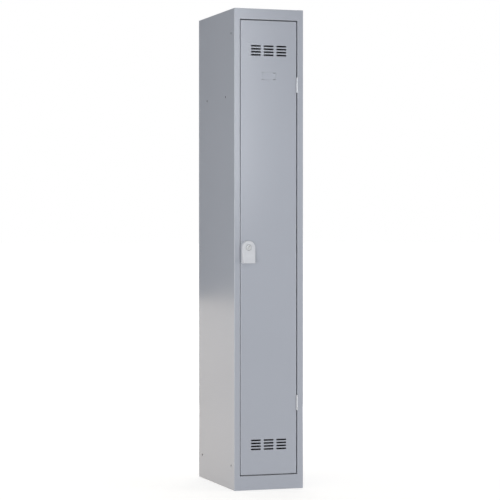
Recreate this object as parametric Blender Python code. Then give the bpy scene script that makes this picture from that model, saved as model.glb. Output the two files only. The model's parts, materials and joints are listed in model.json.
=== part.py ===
"""Office locker in painted sheet steel, with one tall door hung on its right side.

Units are metres, +Z is up and the front faces -Y. The origin lies on the floor, under the middle of the
whole outline, which the lock handle makes a little deeper than the carcass.
"""

import math
from collections import namedtuple

import bmesh
import bpy
from mathutils import Vector

# Carcass, front face to back face
WIDTH = 0.300
DEPTH = 0.500
HEIGHT = 1.980

# Sheet steel: thickness, inside radius of a fold, and width of the relief cut where a fold ends
SHEET = 0.0008
INSIDE_BEND = 0.0012
FOLD_CUT = 0.002

# Gap between pieces that are welded, screwed or rested together
SEAM = 0.0003

# Front frame and carcass flanges
STILE = 0.025
HEADER = 0.044
PLINTH = 0.059
STOP = 0.010
REAR_FLANGE = 0.020
HEADER_OVERLAP = 0.015
PLINTH_FLANGE = 0.020
TRAY_FLANGE = 0.020
BACK_PANEL_INSET = 0.002

# Holes in the sides for bolting lockers into a row
JOIN_HOLE_RADIUS = 0.004
JOIN_FRONT_INSET = 0.044
JOIN_REAR_INSET = 0.049
JOIN_END_INSET = 0.100

# Hat shelf and its rivets, each with a flush head in the side and a formed tail inside
SHELF_DROP = 0.345
SHELF_SETBACK = 0.040
SHELF_FLANGE = 0.025
SHELF_LIP = 0.010
RIVET_INSET = 0.120
RIVET_DROP = 0.012
RIVET_FLUSH_RADIUS = 0.0035
RIVET_CLEARANCE = 0.0006
RIVET_RADIUS = 0.0016
RIVET_TAIL_RIM = 0.0014
RIVET_TAIL = 0.0018

# Hanging rail, its brackets and the coat hooks that slide on it. A hook's loop is given by its angles round
# the rail in degrees, from the rear upwards.
RAIL_DROP = 0.060
RAIL_RADIUS = 0.008
RAIL_WALL = 0.0012
RAIL_END_GAP = 0.008
BRACKET_INSET = 0.012
BRACKET_WIDTH = 0.028
BRACKET_FOOT = 0.022
BRACKET_BELOW_RAIL = 0.016
HOOK_SPACING = 0.100
HOOK_WIRE = 0.002
HOOK_LOOP_START = 235
HOOK_LOOP_END = -50
HOOK_NECK = 0.004
HOOK_STEM = 0.030
HOOK_THROAT = 0.011
HOOK_TIP = 0.010

# Door pan
DOOR_DEPTH = 0.020
DOOR_LIP = 0.015
LIP_INSET = 0.030
LOCK_GAP = 0.0025
HINGE_GAP = 0.005
DOOR_END_GAP = 0.0045
STOP_CLEARANCE = 0.004

# Ventilation slots, in one group near each end of the door
VENT_ROWS = 4
VENT_LENGTH = 0.042
VENT_HEIGHT = 0.0053
VENT_BRIDGE_X = 0.0133
VENT_BRIDGE_Z = 0.007
VENT_INSET = 0.1045
VENT_MARGIN = 0.040

# Stamped label recess with a slot at each corner for the card
LABEL_WIDTH = 0.065
LABEL_HEIGHT = 0.0325
LABEL_DROP = 0.2115
LABEL_DEPTH = 0.001
LABEL_SLOT_LENGTH = 0.010
LABEL_SLOT_HEIGHT = 0.0016
LABEL_SLOT_INSET = 0.0008

# Door stiffener, a hat section behind the skin
STIFFENER_WIDTH = 0.036
STIFFENER_FOOT = 0.012
STIFFENER_DEPTH = 0.014
STIFFENER_GAP = 0.020

# Barrel hinges in the gap between door and stile
HINGE_LENGTH = 0.062
HINGE_TOP_INSET = 0.2615
HINGE_BOTTOM_INSET = 0.292
HINGE_PROUD = 0.0005
KNUCKLE_CLEARANCE = 0.0004
DOOR_KNUCKLE = 0.030
KNUCKLE_GAP = 0.0005
LEAF = 0.001
LEAF_SETBACK = 0.003
PIN_RADIUS = 0.0014
PIN_CLEARANCE = 0.0003
PIN_HEAD = 0.0008
PIN_HEAD_RIM = 0.0008

# Rubber buffers on the stop of the lock side
BUFFER_HEIGHT = 0.012
BUFFER_WIDTH = 0.006
BUFFER_INSET = 0.300

# Lock handle, a moulded plate that flares into a finger pull below the lock
LOCK_HEIGHT = 0.999
HANDLE_MARGIN = 0.0027
HANDLE_WIDTH = 0.060
HANDLE_RISE = 0.0285
HANDLE_FALL = 0.0655
HANDLE_ARCH = 0.021
HANDLE_FOOT_RADIUS = 0.003
HANDLE_THICK = 0.009
HANDLE_PROUD = 0.018
HANDLE_DRAFT = 0.005
HANDLE_WALL = 0.003
HANDLE_LIP = 0.003
FLARE_GAP = 0.008

# Screws that hold the handle from behind
HANDLE_SCREW_RADIUS = 0.0018
HANDLE_SCREW_HEAD_RIM = 0.002
HANDLE_SCREW_HEAD = 0.002
HANDLE_SCREW_REACH = 0.005
HANDLE_SCREW_SPACE = 0.003
HANDLE_SCREW_DROP = 0.010

# Cam lock
PLUG_RADIUS = 0.006
PLUG_HEAD_RIM = 0.001
PLUG_HEAD = 0.0015
PLUG_CLEARANCE = 0.0003
KEYWAY_WIDTH = 0.0016
KEYWAY_HEIGHT = 0.007
KEYWAY_DEPTH = 0.008
LOCK_WALL = 0.0017
LOCK_FLANGE_RIM = 0.0035
LOCK_FLANGE = 0.002
LOCK_SEAT_DEPTH = 0.0012
NUT_RIM = 0.0047
NUT_THICK = 0.004
SPIGOT = 0.007
CAM_WIDTH = 0.016
CAM_THICK = 0.002
CAM_TIP_RADIUS = 0.003
CAM_OVERLAP = 0.009
CAM_CLEARANCE = 0.0008
CAM_SCREW_RADIUS = 0.0017
CAM_SCREW_HEAD_RIM = 0.0035
CAM_SCREW_HEAD = 0.0025
CAM_SCREW_REACH = 0.008
SCREW_SLOT = 0.0012

# Facets: sides of a round piece, a small round piece and a nut, steps of a fold or an arc, and the angles in
# degrees past which an edge is a fold line or is shaded sharp
ROUND_SIDES = 24
SMALL_SIDES = 16
NUT_SIDES = 6
FOLD_STEPS = 3
ARC_STEPS = 6
FOLD_ANGLE = 30
SHARP_ANGLE = 35

# Overshoot of a cutter past what it cuts, and the distance at which points are one
OVERCUT = 0.003
SAME_POINT = 1e-6

# Places worked out from the sizes above
BEND = SHEET + INSIDE_BEND
FOLD_RELIEF = BEND + FOLD_CUT
FRONT = (HANDLE_PROUD - DEPTH) / 2
BACK = FRONT + DEPTH
MIDDLE_Y = (FRONT + BACK) / 2
HALF = WIDTH / 2
INNER = HALF - SHEET - SEAM
JAMB_X = HALF - STILE
STOP_Y = FRONT + DOOR_DEPTH + STOP_CLEARANCE
JAMB_END_Y = STOP_Y - FOLD_RELIEF
BACK_PANEL_Y = BACK - SHEET - SEAM
INNER_BACK_Y = BACK_PANEL_Y - SHEET - SEAM
HEADER_Z = HEIGHT - HEADER
ROOF_Z = HEIGHT - SHEET - SEAM
ROOF_FRONT_Y = JAMB_END_Y + SEAM
SHELF_Z = HEIGHT - SHELF_DROP
RIVET_Z = SHELF_Z - RIVET_DROP
RAIL_Z = SHELF_Z - RAIL_DROP

DOOR_LEFT = LOCK_GAP - JAMB_X
DOOR_RIGHT = JAMB_X - HINGE_GAP
DOOR_BOTTOM = PLINTH + DOOR_END_GAP
DOOR_TOP = HEADER_Z - DOOR_END_GAP
DOOR_MIDDLE_X = (DOOR_LEFT + DOOR_RIGHT) / 2
DOOR_INSIDE_Y = FRONT + SHEET + SEAM
VENT_PITCH_X = VENT_LENGTH + VENT_BRIDGE_X
VENT_PITCH_Z = VENT_HEIGHT + VENT_BRIDGE_Z
VENT_GROUP = (VENT_ROWS - 1) * VENT_PITCH_Z
LABEL_TOP = DOOR_TOP - LABEL_DROP
LABEL_BOTTOM = LABEL_TOP - LABEL_HEIGHT

HINGE_X = JAMB_X - HINGE_GAP / 2
HINGE_Y = FRONT - HINGE_PROUD
KNUCKLE = math.hypot(HINGE_GAP / 2 + BEND, HINGE_PROUD + BEND) - BEND - KNUCKLE_CLEARANCE
PIN_BORE = PIN_RADIUS + PIN_CLEARANCE
HINGE_HEIGHTS = {"upper": DOOR_TOP - HINGE_TOP_INSET, "lower": DOOR_BOTTOM + HINGE_BOTTOM_INSET}

LOCK_X = DOOR_LEFT + HANDLE_MARGIN + HANDLE_WIDTH / 2
HANDLE_TOP = LOCK_HEIGHT + HANDLE_RISE
HANDLE_BOTTOM = LOCK_HEIGHT - HANDLE_FALL
LOCK_BORE = PLUG_RADIUS + PLUG_CLEARANCE
LOCK_BODY = LOCK_BORE + LOCK_WALL
LOCK_FLANGE_RADIUS = LOCK_BODY + LOCK_FLANGE_RIM
NUT_RADIUS = LOCK_BODY + NUT_RIM
FLARE_TOP = LOCK_HEIGHT - LOCK_FLANGE_RADIUS - FLARE_GAP
HANDLE_FACE_Y = FRONT - HANDLE_THICK
HANDLE_BACK_Y = FRONT - SEAM
LOCK_SEAT_Y = HANDLE_FACE_Y + LOCK_SEAT_DEPTH
LOCK_FACE_Y = LOCK_SEAT_Y - SEAM - LOCK_FLANGE
CAM_FRONT_Y = STOP_Y + SHEET + CAM_CLEARANCE
CAM_REAR_Y = CAM_FRONT_Y + CAM_THICK
LOCK_REAR_Y = CAM_FRONT_Y - SEAM
CAM_REACH = LOCK_X + JAMB_X - STOP + CAM_OVERLAP
HANDLE_SCREW_HEAD_RADIUS = HANDLE_SCREW_RADIUS + HANDLE_SCREW_HEAD_RIM
HANDLE_SCREW_OFFSET = NUT_RADIUS + HANDLE_SCREW_SPACE + HANDLE_SCREW_HEAD_RADIUS
HANDLE_SCREW_Z = LOCK_HEIGHT - HANDLE_SCREW_DROP

Finish = namedtuple("Finish", "colour roughness metallic")
PAINT = Finish((0.39, 0.41, 0.46), 0.42, 0.0)
GREY_PLASTIC = Finish((0.60, 0.61, 0.64), 0.48, 0.0)
ZINC = Finish((0.62, 0.64, 0.67), 0.35, 1.0)
NICKEL = Finish((0.66, 0.66, 0.65), 0.25, 1.0)
DARK_STEEL = Finish((0.08, 0.08, 0.09), 0.45, 1.0)
RUBBER = Finish((0.03, 0.03, 0.03), 0.80, 0.0)

Pivot = namedtuple("Pivot", "empty place")
AXES = "XYZ"


def clear_scene():
    for obj in list(bpy.data.objects):
        bpy.data.objects.remove(obj, do_unlink=True)


def make_pivot(name, place, carrier=None):
    """An empty on a joint's axis, which carries the pieces that move on that joint."""
    empty = bpy.data.objects.new(name, None)
    bpy.context.scene.collection.objects.link(empty)
    empty.location = place
    if carrier:
        empty.parent = carrier.empty
        empty.location = Vector(place) - Vector(carrier.place)
    return Pivot(empty, place)


def place_on(obj, pivot):
    """Puts a piece that is drawn in place under its pivot, without moving it."""
    if pivot:
        obj.parent = pivot.empty
        obj.location = -Vector(pivot.place)


def give_finish(obj, finish):
    material = bpy.data.materials.new(obj.name)
    material.use_nodes = True
    shader = material.node_tree.nodes["Principled BSDF"]
    shader.inputs["Base Color"].default_value = (*finish.colour, 1.0)
    shader.inputs["Roughness"].default_value = finish.roughness
    shader.inputs["Metallic"].default_value = finish.metallic
    obj.data.materials.append(material)


def mesh_object(name, bm):
    mesh = bpy.data.meshes.new(name)
    bm.to_mesh(mesh)
    bm.free()
    mesh.shade_smooth()
    mesh.set_sharp_from_angle(angle=math.radians(SHARP_ANGLE))
    obj = bpy.data.objects.new(name, mesh)
    bpy.context.scene.collection.objects.link(obj)
    return obj


def finish_piece(obj, finish, pivot=None):
    give_finish(obj, finish)
    place_on(obj, pivot)
    return obj


def boolean(obj, operation, tool_name, bm):
    """Joins a shape to a piece, cuts it away, or keeps what is common. The shape moves with its piece."""
    tool = mesh_object(tool_name, bm)
    tool.hide_render = True
    tool.display_type = "WIRE"
    tool.parent = obj
    modifier = obj.modifiers.new(tool_name, "BOOLEAN")
    modifier.operation = operation
    modifier.solver = "EXACT"
    modifier.object = tool


def arc(centre, radius, start, stop, steps=ARC_STEPS):
    """Points on an arc from start to stop, in degrees, with both ends."""
    angles = [math.radians(start + (stop - start) * i / steps) for i in range(steps + 1)]
    return [(centre[0] + radius * math.cos(a), centre[1] + radius * math.sin(a)) for a in angles]


def circle(centre, radius, sides=ROUND_SIDES):
    return arc(centre, radius, 0, 360, sides)[:-1]


def rectangle(low, high):
    return [(low[0], low[1]), (high[0], low[1]), (high[0], high[1]), (low[0], high[1])]


def slot_outline(centre, length, height):
    """A slot along the first direction, with round ends."""
    reach = (length - height) / 2
    right = arc((centre[0] + reach, centre[1]), height / 2, -90, 90, ARC_STEPS)
    left = arc((centre[0] - reach, centre[1]), height / 2, 90, 270, ARC_STEPS)
    return right + left


def axis_vector(axis):
    return Vector([letter == axis for letter in AXES])


def prism(bm, outline, axis, start, stop):
    """Adds a closed prism: an outline in the two other directions, drawn out along one axis."""
    along = AXES.index(axis)
    first, second = [index for index, letter in enumerate(AXES) if letter != axis]
    corners = []
    for point in outline:
        place = [0.0, 0.0, 0.0]
        place[first], place[second], place[along] = point[0], point[1], start
        corners.append(bm.verts.new(place))
    base = bm.faces.new(corners)
    drawn = bmesh.ops.extrude_face_region(bm, geom=[base])["geom"]
    far_end = [item for item in drawn if isinstance(item, bmesh.types.BMVert)]
    bmesh.ops.translate(bm, verts=far_end, vec=axis_vector(axis) * (stop - start))
    bmesh.ops.recalc_face_normals(bm, faces=bm.faces)
    return far_end


def box(bm, low, high):
    prism(bm, rectangle(low[:2], high[:2]), "Z", low[2], high[2])


def turned(bm, profile, centre, axis, sides=ROUND_SIDES):
    """Adds a turned solid. Its profile of (radius, place along the axis) ends on the axis or closes."""
    along = axis_vector(axis)
    across = axis_vector("X" if axis == "Z" else "Z")
    points = [bm.verts.new(Vector(centre) + across * radius + along * place) for radius, place in profile]
    lines = [bm.edges.new(pair) for pair in zip(points, points[1:])]
    if profile[0][0] > 0:
        lines.append(bm.edges.new((points[-1], points[0])))
    turn = {"cent": centre, "axis": along, "angle": 2 * math.pi, "steps": sides, "use_merge": True}
    bmesh.ops.spin(bm, geom=points + lines, **turn)
    bmesh.ops.remove_doubles(bm, verts=bm.verts, dist=SAME_POINT)
    bmesh.ops.recalc_face_normals(bm, faces=bm.faces)


def rod(bm, radius, start, stop, centre, axis, sides=ROUND_SIDES):
    turned(bm, [(0, start), (radius, start), (radius, stop), (0, stop)], centre, axis, sides)


def panel_x(x, y_span, z_span, facing):
    corners = rectangle((y_span[0], z_span[0]), (y_span[1], z_span[1]))
    return [(x, y, z) for y, z in corners], (facing, 0, 0)


def panel_y(y, x_span, z_span, facing):
    corners = rectangle((x_span[0], z_span[0]), (x_span[1], z_span[1]))
    return [(x, y, z) for x, z in corners], (0, facing, 0)


def panel_z(z, x_span, y_span, facing):
    corners = rectangle((x_span[0], y_span[0]), (x_span[1], y_span[1]))
    return [(x, y, z) for x, y in corners], (0, 0, facing)


def folded_sheet(name, panels):
    """One bent sheet. Its panels are the visible skin and share their fold lines; the steel lies behind."""
    bm = bmesh.new()
    corners = {}
    for points, facing in panels:
        outline = []
        for point in points:
            key = tuple(round(value / SAME_POINT) for value in point)
            if key not in corners:
                corners[key] = bm.verts.new(point)
            outline.append(corners[key])
        face = bm.faces.new(outline)
        face.normal_update()
        if face.normal.dot(Vector(facing)) < 0:
            face.normal_flip()
    obj = mesh_object(name, bm)
    folds = obj.modifiers.new("folds", "BEVEL")
    folds.width = BEND
    folds.segments = FOLD_STEPS
    folds.limit_method = "ANGLE"
    folds.angle_limit = math.radians(FOLD_ANGLE)
    folds.use_clamp_overlap = False
    steel = obj.modifiers.new("steel", "SOLIDIFY")
    steel.thickness = SHEET
    steel.offset = -1
    steel.use_even_offset = True
    steel.use_quality_normals = True
    return obj


def tray(name, top, x_span, y_span, flange, front_flange, front_lip=0.0):
    """A flat sheet with its edges folded down, and the corners cut out so that the folds can close."""
    cut = FOLD_RELIEF
    low_x, high_x = x_span
    low_y, high_y = y_span
    front_cut = cut if front_flange else 0.0
    outline = [(low_x + cut, high_y), (low_x + cut, high_y - cut), (low_x, high_y - cut)]
    if front_flange:
        outline += [(low_x, low_y + cut), (low_x + cut, low_y + cut), (low_x + cut, low_y)]
        outline += [(high_x - cut, low_y), (high_x - cut, low_y + cut), (high_x, low_y + cut)]
    else:
        outline += [(low_x, low_y), (high_x, low_y)]
    outline += [(high_x, high_y - cut), (high_x - cut, high_y - cut), (high_x - cut, high_y)]
    side_span = (low_y + front_cut, high_y - cut)
    end_span = (low_x + cut, high_x - cut)
    drop = (top - flange, top)
    panels = [([(x, y, top) for x, y in outline], (0, 0, 1))]
    panels.append(panel_x(low_x, side_span, drop, -1))
    panels.append(panel_x(high_x, side_span, drop, 1))
    panels.append(panel_y(high_y, end_span, drop, 1))
    if front_flange:
        panels.append(panel_y(low_y, end_span, drop, -1))
    if front_lip:
        panels.append(panel_z(top - flange, end_span, (low_y, low_y + front_lip), -1))
    return folded_sheet(name, panels)


def side_panel(name, side):
    """A side of the carcass, folded round to the front as the stile, the jamb and the door stop."""
    web_x = side * HALF
    jamb_x = side * JAMB_X
    stop_x = side * (JAMB_X - STOP)
    flange_x = side * (JAMB_X + SHEET + SEAM)
    cut_front = FRONT + FOLD_RELIEF
    flange_front = cut_front + FOLD_CUT
    cut_back = BACK - FOLD_RELIEF
    flange_back = cut_back - FOLD_CUT
    stop_bottom = PLINTH + STOP + SEAM
    stop_top = HEADER_Z - STOP - SEAM
    lower = [(FRONT, 0), (cut_front, 0), (cut_front, FOLD_RELIEF), (flange_front, FOLD_RELIEF)]
    lower += [(flange_front, 0), (flange_back, 0), (flange_back, FOLD_RELIEF), (cut_back, FOLD_RELIEF)]
    lower += [(cut_back, 0), (BACK, 0)]
    upper = [(y, HEIGHT - z) for y, z in reversed(lower)]
    jamb = [(FRONT, 0), (JAMB_END_Y, 0), (JAMB_END_Y, stop_bottom), (STOP_Y, stop_bottom)]
    jamb += [(STOP_Y, stop_top), (JAMB_END_Y, stop_top), (JAMB_END_Y, HEIGHT), (FRONT, HEIGHT)]
    panels = [([(web_x, y, z) for y, z in lower + upper], (side, 0, 0))]
    panels.append(panel_y(FRONT, (web_x, jamb_x), (0, HEIGHT), -1))
    panels.append(([(jamb_x, y, z) for y, z in jamb], (-side, 0, 0)))
    panels.append(panel_y(STOP_Y, (jamb_x, stop_x), (stop_bottom, stop_top), -1))
    panels.append(panel_y(BACK, (web_x, side * (HALF - REAR_FLANGE)), (0, HEIGHT), 1))
    panels.append(panel_z(0, (web_x, flange_x), (flange_front, flange_back), -1))
    panels.append(panel_z(HEIGHT, (web_x, flange_x), (flange_front, flange_back), 1))
    obj = folded_sheet(name, panels)
    holes = bmesh.new()
    span = sorted((web_x + side * OVERCUT, web_x - side * OVERCUT))
    front_y = FRONT + JOIN_FRONT_INSET
    low_z = JOIN_END_INSET
    for y, z in ((front_y, HEIGHT - low_z), (front_y, low_z), (BACK - JOIN_REAR_INSET, low_z)):
        prism(holes, circle((y, z), JOIN_HOLE_RADIUS, SMALL_SIDES), "X", *span)
    for y in rivet_places():
        head = RIVET_FLUSH_RADIUS + RIVET_CLEARANCE
        prism(holes, circle((y, RIVET_Z), head, SMALL_SIDES), "X", *span)
    boolean(obj, "DIFFERENCE", name + "_holes", holes)
    return finish_piece(obj, PAINT)


def back_panel():
    bm = bmesh.new()
    half = HALF - BEND
    low = (-half, BACK_PANEL_Y - SHEET, BACK_PANEL_INSET)
    box(bm, low, (half, BACK_PANEL_Y, HEIGHT - BACK_PANEL_INSET))
    return finish_piece(mesh_object("back_panel", bm), PAINT)


def roof_panel():
    spans = (-INNER, INNER), (ROOF_FRONT_Y, INNER_BACK_Y)
    return finish_piece(tray("roof_panel", ROOF_Z, *spans, TRAY_FLANGE, False), PAINT)


def floor_panel():
    spans = (-INNER, INNER), (STOP_Y + SHEET + SEAM, INNER_BACK_Y)
    return finish_piece(tray("floor_panel", PLINTH, *spans, TRAY_FLANGE, True), PAINT)


def header_rail():
    span = SEAM - JAMB_X, JAMB_X - SEAM
    flange_back = ROOF_FRONT_Y + HEADER_OVERLAP
    panels = [panel_z(HEIGHT, span, (FRONT, flange_back), 1)]
    panels.append(panel_y(FRONT, span, (HEADER_Z, HEIGHT), -1))
    panels.append(panel_z(HEADER_Z, span, (FRONT, STOP_Y), -1))
    panels.append(panel_y(STOP_Y, span, (HEADER_Z - STOP, HEADER_Z), -1))
    return finish_piece(folded_sheet("header_rail", panels), PAINT)


def plinth_rail():
    span = SEAM - JAMB_X, JAMB_X - SEAM
    panels = [panel_z(0, span, (FRONT, FRONT + PLINTH_FLANGE), -1)]
    panels.append(panel_y(FRONT, span, (0, PLINTH), -1))
    panels.append(panel_z(PLINTH, span, (FRONT, STOP_Y), 1))
    panels.append(panel_y(STOP_Y, span, (PLINTH, PLINTH + STOP), -1))
    return finish_piece(folded_sheet("plinth_rail", panels), PAINT)


def rivet_places():
    return FRONT + RIVET_INSET, BACK - RIVET_INSET


def hat_shelf():
    spans = (-INNER, INNER), (FRONT + SHELF_SETBACK, INNER_BACK_Y)
    obj = tray("hat_shelf", SHELF_Z, *spans, SHELF_FLANGE, True, SHELF_LIP)
    holes = bmesh.new()
    for side in (-1, 1):
        span = sorted((side * (INNER + OVERCUT), side * (INNER - OVERCUT)))
        for y in rivet_places():
            prism(holes, circle((y, RIVET_Z), RIVET_RADIUS + SEAM, SMALL_SIDES), "X", *span)
    boolean(obj, "DIFFERENCE", "hat_shelf_holes", holes)
    return finish_piece(obj, PAINT)


def shelf_rivets():
    """Rivets whose flat heads fill the side's holes, just below its face, with their tails formed inside."""
    head = HALF - SEAM
    shoulder = HALF - SHEET
    tail = INNER - SHEET - SEAM
    end = tail - RIVET_TAIL
    rim = RIVET_RADIUS + RIVET_TAIL_RIM
    for side, side_name in ((-1, "left"), (1, "right")):
        for y, end_name in zip(rivet_places(), ("front", "rear")):
            bm = bmesh.new()
            profile = [(0, head), (RIVET_FLUSH_RADIUS, head), (RIVET_FLUSH_RADIUS, shoulder)]
            profile += [(RIVET_RADIUS, shoulder), (RIVET_RADIUS, tail), (rim, tail)]
            profile += [(rim, tail - RIVET_TAIL / 2), (rim - RIVET_TAIL / 2, end), (0, end)]
            mirrored = [(radius, side * place) for radius, place in profile]
            turned(bm, mirrored, (0, y, RIVET_Z), "X", SMALL_SIDES)
            finish_piece(mesh_object(f"shelf_rivet_{side_name}_{end_name}", bm), DARK_STEEL)


def hanging_rail():
    bm = bmesh.new()
    end = HALF - RAIL_END_GAP
    bore = RAIL_RADIUS - RAIL_WALL
    profile = [(RAIL_RADIUS, -end), (RAIL_RADIUS, end), (bore, end), (bore, -end)]
    turned(bm, profile, (0, MIDDLE_Y, RAIL_Z), "X")
    return finish_piece(mesh_object("hanging_rail", bm), ZINC)


def rail_bracket(name, side):
    """An angle under the shelf whose drop plate carries one end of the rail."""
    top = SHELF_Z - SHEET - SEAM
    plate_x = side * (HALF - BRACKET_INSET)
    span = MIDDLE_Y - BRACKET_WIDTH / 2, MIDDLE_Y + BRACKET_WIDTH / 2
    panels = [panel_z(top, (plate_x, plate_x - side * BRACKET_FOOT), span, 1)]
    panels.append(panel_x(plate_x, span, (RAIL_Z - BRACKET_BELOW_RAIL, top), side))
    obj = folded_sheet(name, panels)
    hole = bmesh.new()
    reach = sorted((plate_x - side * OVERCUT, plate_x + side * OVERCUT))
    prism(hole, circle((MIDDLE_Y, RAIL_Z), RAIL_RADIUS + SEAM), "X", *reach)
    boolean(obj, "DIFFERENCE", name + "_hole", hole)
    return finish_piece(obj, ZINC)


def coat_hook(name, x):
    """A bent wire: a loop round the rail, a stem, and an open throat that faces the door."""
    loop = RAIL_RADIUS + SEAM + HOOK_WIRE
    throat_z = RAIL_Z - loop - HOOK_STEM
    path = arc((MIDDLE_Y, RAIL_Z), loop, HOOK_LOOP_START, HOOK_LOOP_END, 3 * ARC_STEPS)
    path.append((MIDDLE_Y, RAIL_Z - loop - HOOK_NECK))
    path += arc((MIDDLE_Y - HOOK_THROAT, throat_z), HOOK_THROAT, 0, -180, 2 * ARC_STEPS)
    path.append((MIDDLE_Y - 2 * HOOK_THROAT, throat_z + HOOK_TIP))
    curve = bpy.data.curves.new(name, "CURVE")
    curve.dimensions = "3D"
    curve.bevel_depth = HOOK_WIRE
    curve.bevel_resolution = 2
    curve.use_fill_caps = True
    line = curve.splines.new("POLY")
    line.points.add(len(path) - 1)
    for point, (y, z) in zip(line.points, path):
        point.co = (x, y, z, 1)
    obj = bpy.data.objects.new(name, curve)
    bpy.context.scene.collection.objects.link(obj)
    slide = make_pivot(name + "_slide", (x, MIDDLE_Y, RAIL_Z))
    return finish_piece(obj, ZINC, slide)


def door_skin(pivot):
    """The door pan: face, four returns with closed corners, and an inner lip on each long side."""
    short = FRONT + DOOR_DEPTH - FOLD_RELIEF
    back = FRONT + DOOR_DEPTH
    lip_bottom = DOOR_BOTTOM + LIP_INSET
    lip_top = DOOR_TOP - LIP_INSET
    edge = [(FRONT, DOOR_BOTTOM), (short, DOOR_BOTTOM), (short, lip_bottom), (back, lip_bottom)]
    edge += [(back, lip_top), (short, lip_top), (short, DOOR_TOP), (FRONT, DOOR_TOP)]
    x_span = DOOR_LEFT, DOOR_RIGHT
    panels = [panel_y(FRONT, x_span, (DOOR_BOTTOM, DOOR_TOP), -1)]
    for x, facing in ((DOOR_LEFT, -1), (DOOR_RIGHT, 1)):
        panels.append(([(x, y, z) for y, z in edge], (facing, 0, 0)))
        panels.append(panel_y(back, (x, x - facing * DOOR_LIP), (lip_bottom, lip_top), 1))
    panels.append(panel_z(DOOR_BOTTOM, x_span, (FRONT, short), -1))
    panels.append(panel_z(DOOR_TOP, x_span, (FRONT, short), 1))
    obj = folded_sheet("door_skin", panels)
    add_label_recess(obj)
    holes = bmesh.new()
    add_vents(holes)
    span = FRONT - OVERCUT, FRONT + SHEET + OVERCUT
    prism(holes, circle((LOCK_X, LOCK_HEIGHT), LOCK_BODY + SEAM), "Y", *span)
    for x in handle_screw_places():
        hole = circle((x, HANDLE_SCREW_Z), HANDLE_SCREW_RADIUS + SEAM, SMALL_SIDES)
        prism(holes, hole, "Y", *span)
    boolean(obj, "DIFFERENCE", "door_holes", holes)
    return finish_piece(obj, PAINT, pivot)


def add_label_recess(obj):
    """Sinks a pan into the door face for a name card, with a slot at each corner of the pan."""
    half = LABEL_WIDTH / 2
    low_x, high_x = DOOR_MIDDLE_X - half, DOOR_MIDDLE_X + half
    floor_y = FRONT + LABEL_DEPTH
    pan = bmesh.new()
    low = (low_x - SHEET, FRONT + SHEET / 2, LABEL_BOTTOM - SHEET)
    box(pan, low, (high_x + SHEET, floor_y + SHEET, LABEL_TOP + SHEET))
    boolean(obj, "UNION", "label_pan", pan)
    recess = bmesh.new()
    box(recess, (low_x, FRONT - OVERCUT, LABEL_BOTTOM), (high_x, floor_y, LABEL_TOP))
    boolean(obj, "DIFFERENCE", "label_recess", recess)
    slots = bmesh.new()
    inset = LABEL_SLOT_INSET
    for x in (low_x + inset, high_x - inset - LABEL_SLOT_LENGTH):
        for z in (LABEL_BOTTOM + inset, LABEL_TOP - inset - LABEL_SLOT_HEIGHT):
            far = (x + LABEL_SLOT_LENGTH, floor_y + SHEET + OVERCUT, z + LABEL_SLOT_HEIGHT)
            box(slots, (x, FRONT - OVERCUT, z), far)
    boolean(obj, "DIFFERENCE", "label_slots", slots)


def add_vents(bm):
    """Two groups of slots, with as many columns as fit the door's width inside its plain margins."""
    room = DOOR_RIGHT - DOOR_LEFT - 2 * VENT_MARGIN + VENT_BRIDGE_X
    columns = int(room / VENT_PITCH_X)
    for group_z in (DOOR_BOTTOM + VENT_INSET, DOOR_TOP - VENT_INSET - VENT_GROUP):
        for column in range(columns):
            x = DOOR_MIDDLE_X + (column - (columns - 1) / 2) * VENT_PITCH_X
            for row in range(VENT_ROWS):
                outline = slot_outline((x, group_z + row * VENT_PITCH_Z), VENT_LENGTH, VENT_HEIGHT)
                prism(bm, outline, "Y", FRONT - OVERCUT, FRONT + SHEET + OVERCUT)


def door_stiffener(pivot):
    """A hat section between the lower vents and the label, with its feet on the back of the door face."""
    foot_y = DOOR_INSIDE_Y + SHEET
    crown_y = foot_y + STIFFENER_DEPTH
    half = STIFFENER_WIDTH / 2
    bottom = DOOR_BOTTOM + VENT_INSET + VENT_GROUP + VENT_HEIGHT / 2 + STIFFENER_GAP
    z_span = bottom, LABEL_BOTTOM - STIFFENER_GAP
    panels = [panel_y(crown_y, (DOOR_MIDDLE_X - half, DOOR_MIDDLE_X + half), z_span, 1)]
    for side in (-1, 1):
        wall_x = DOOR_MIDDLE_X + side * half
        panels.append(panel_x(wall_x, (foot_y, crown_y), z_span, side))
        panels.append(panel_y(foot_y, (wall_x, wall_x + side * STIFFENER_FOOT), z_span, 1))
    return finish_piece(folded_sheet("door_stiffener", panels), PAINT, pivot)


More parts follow.
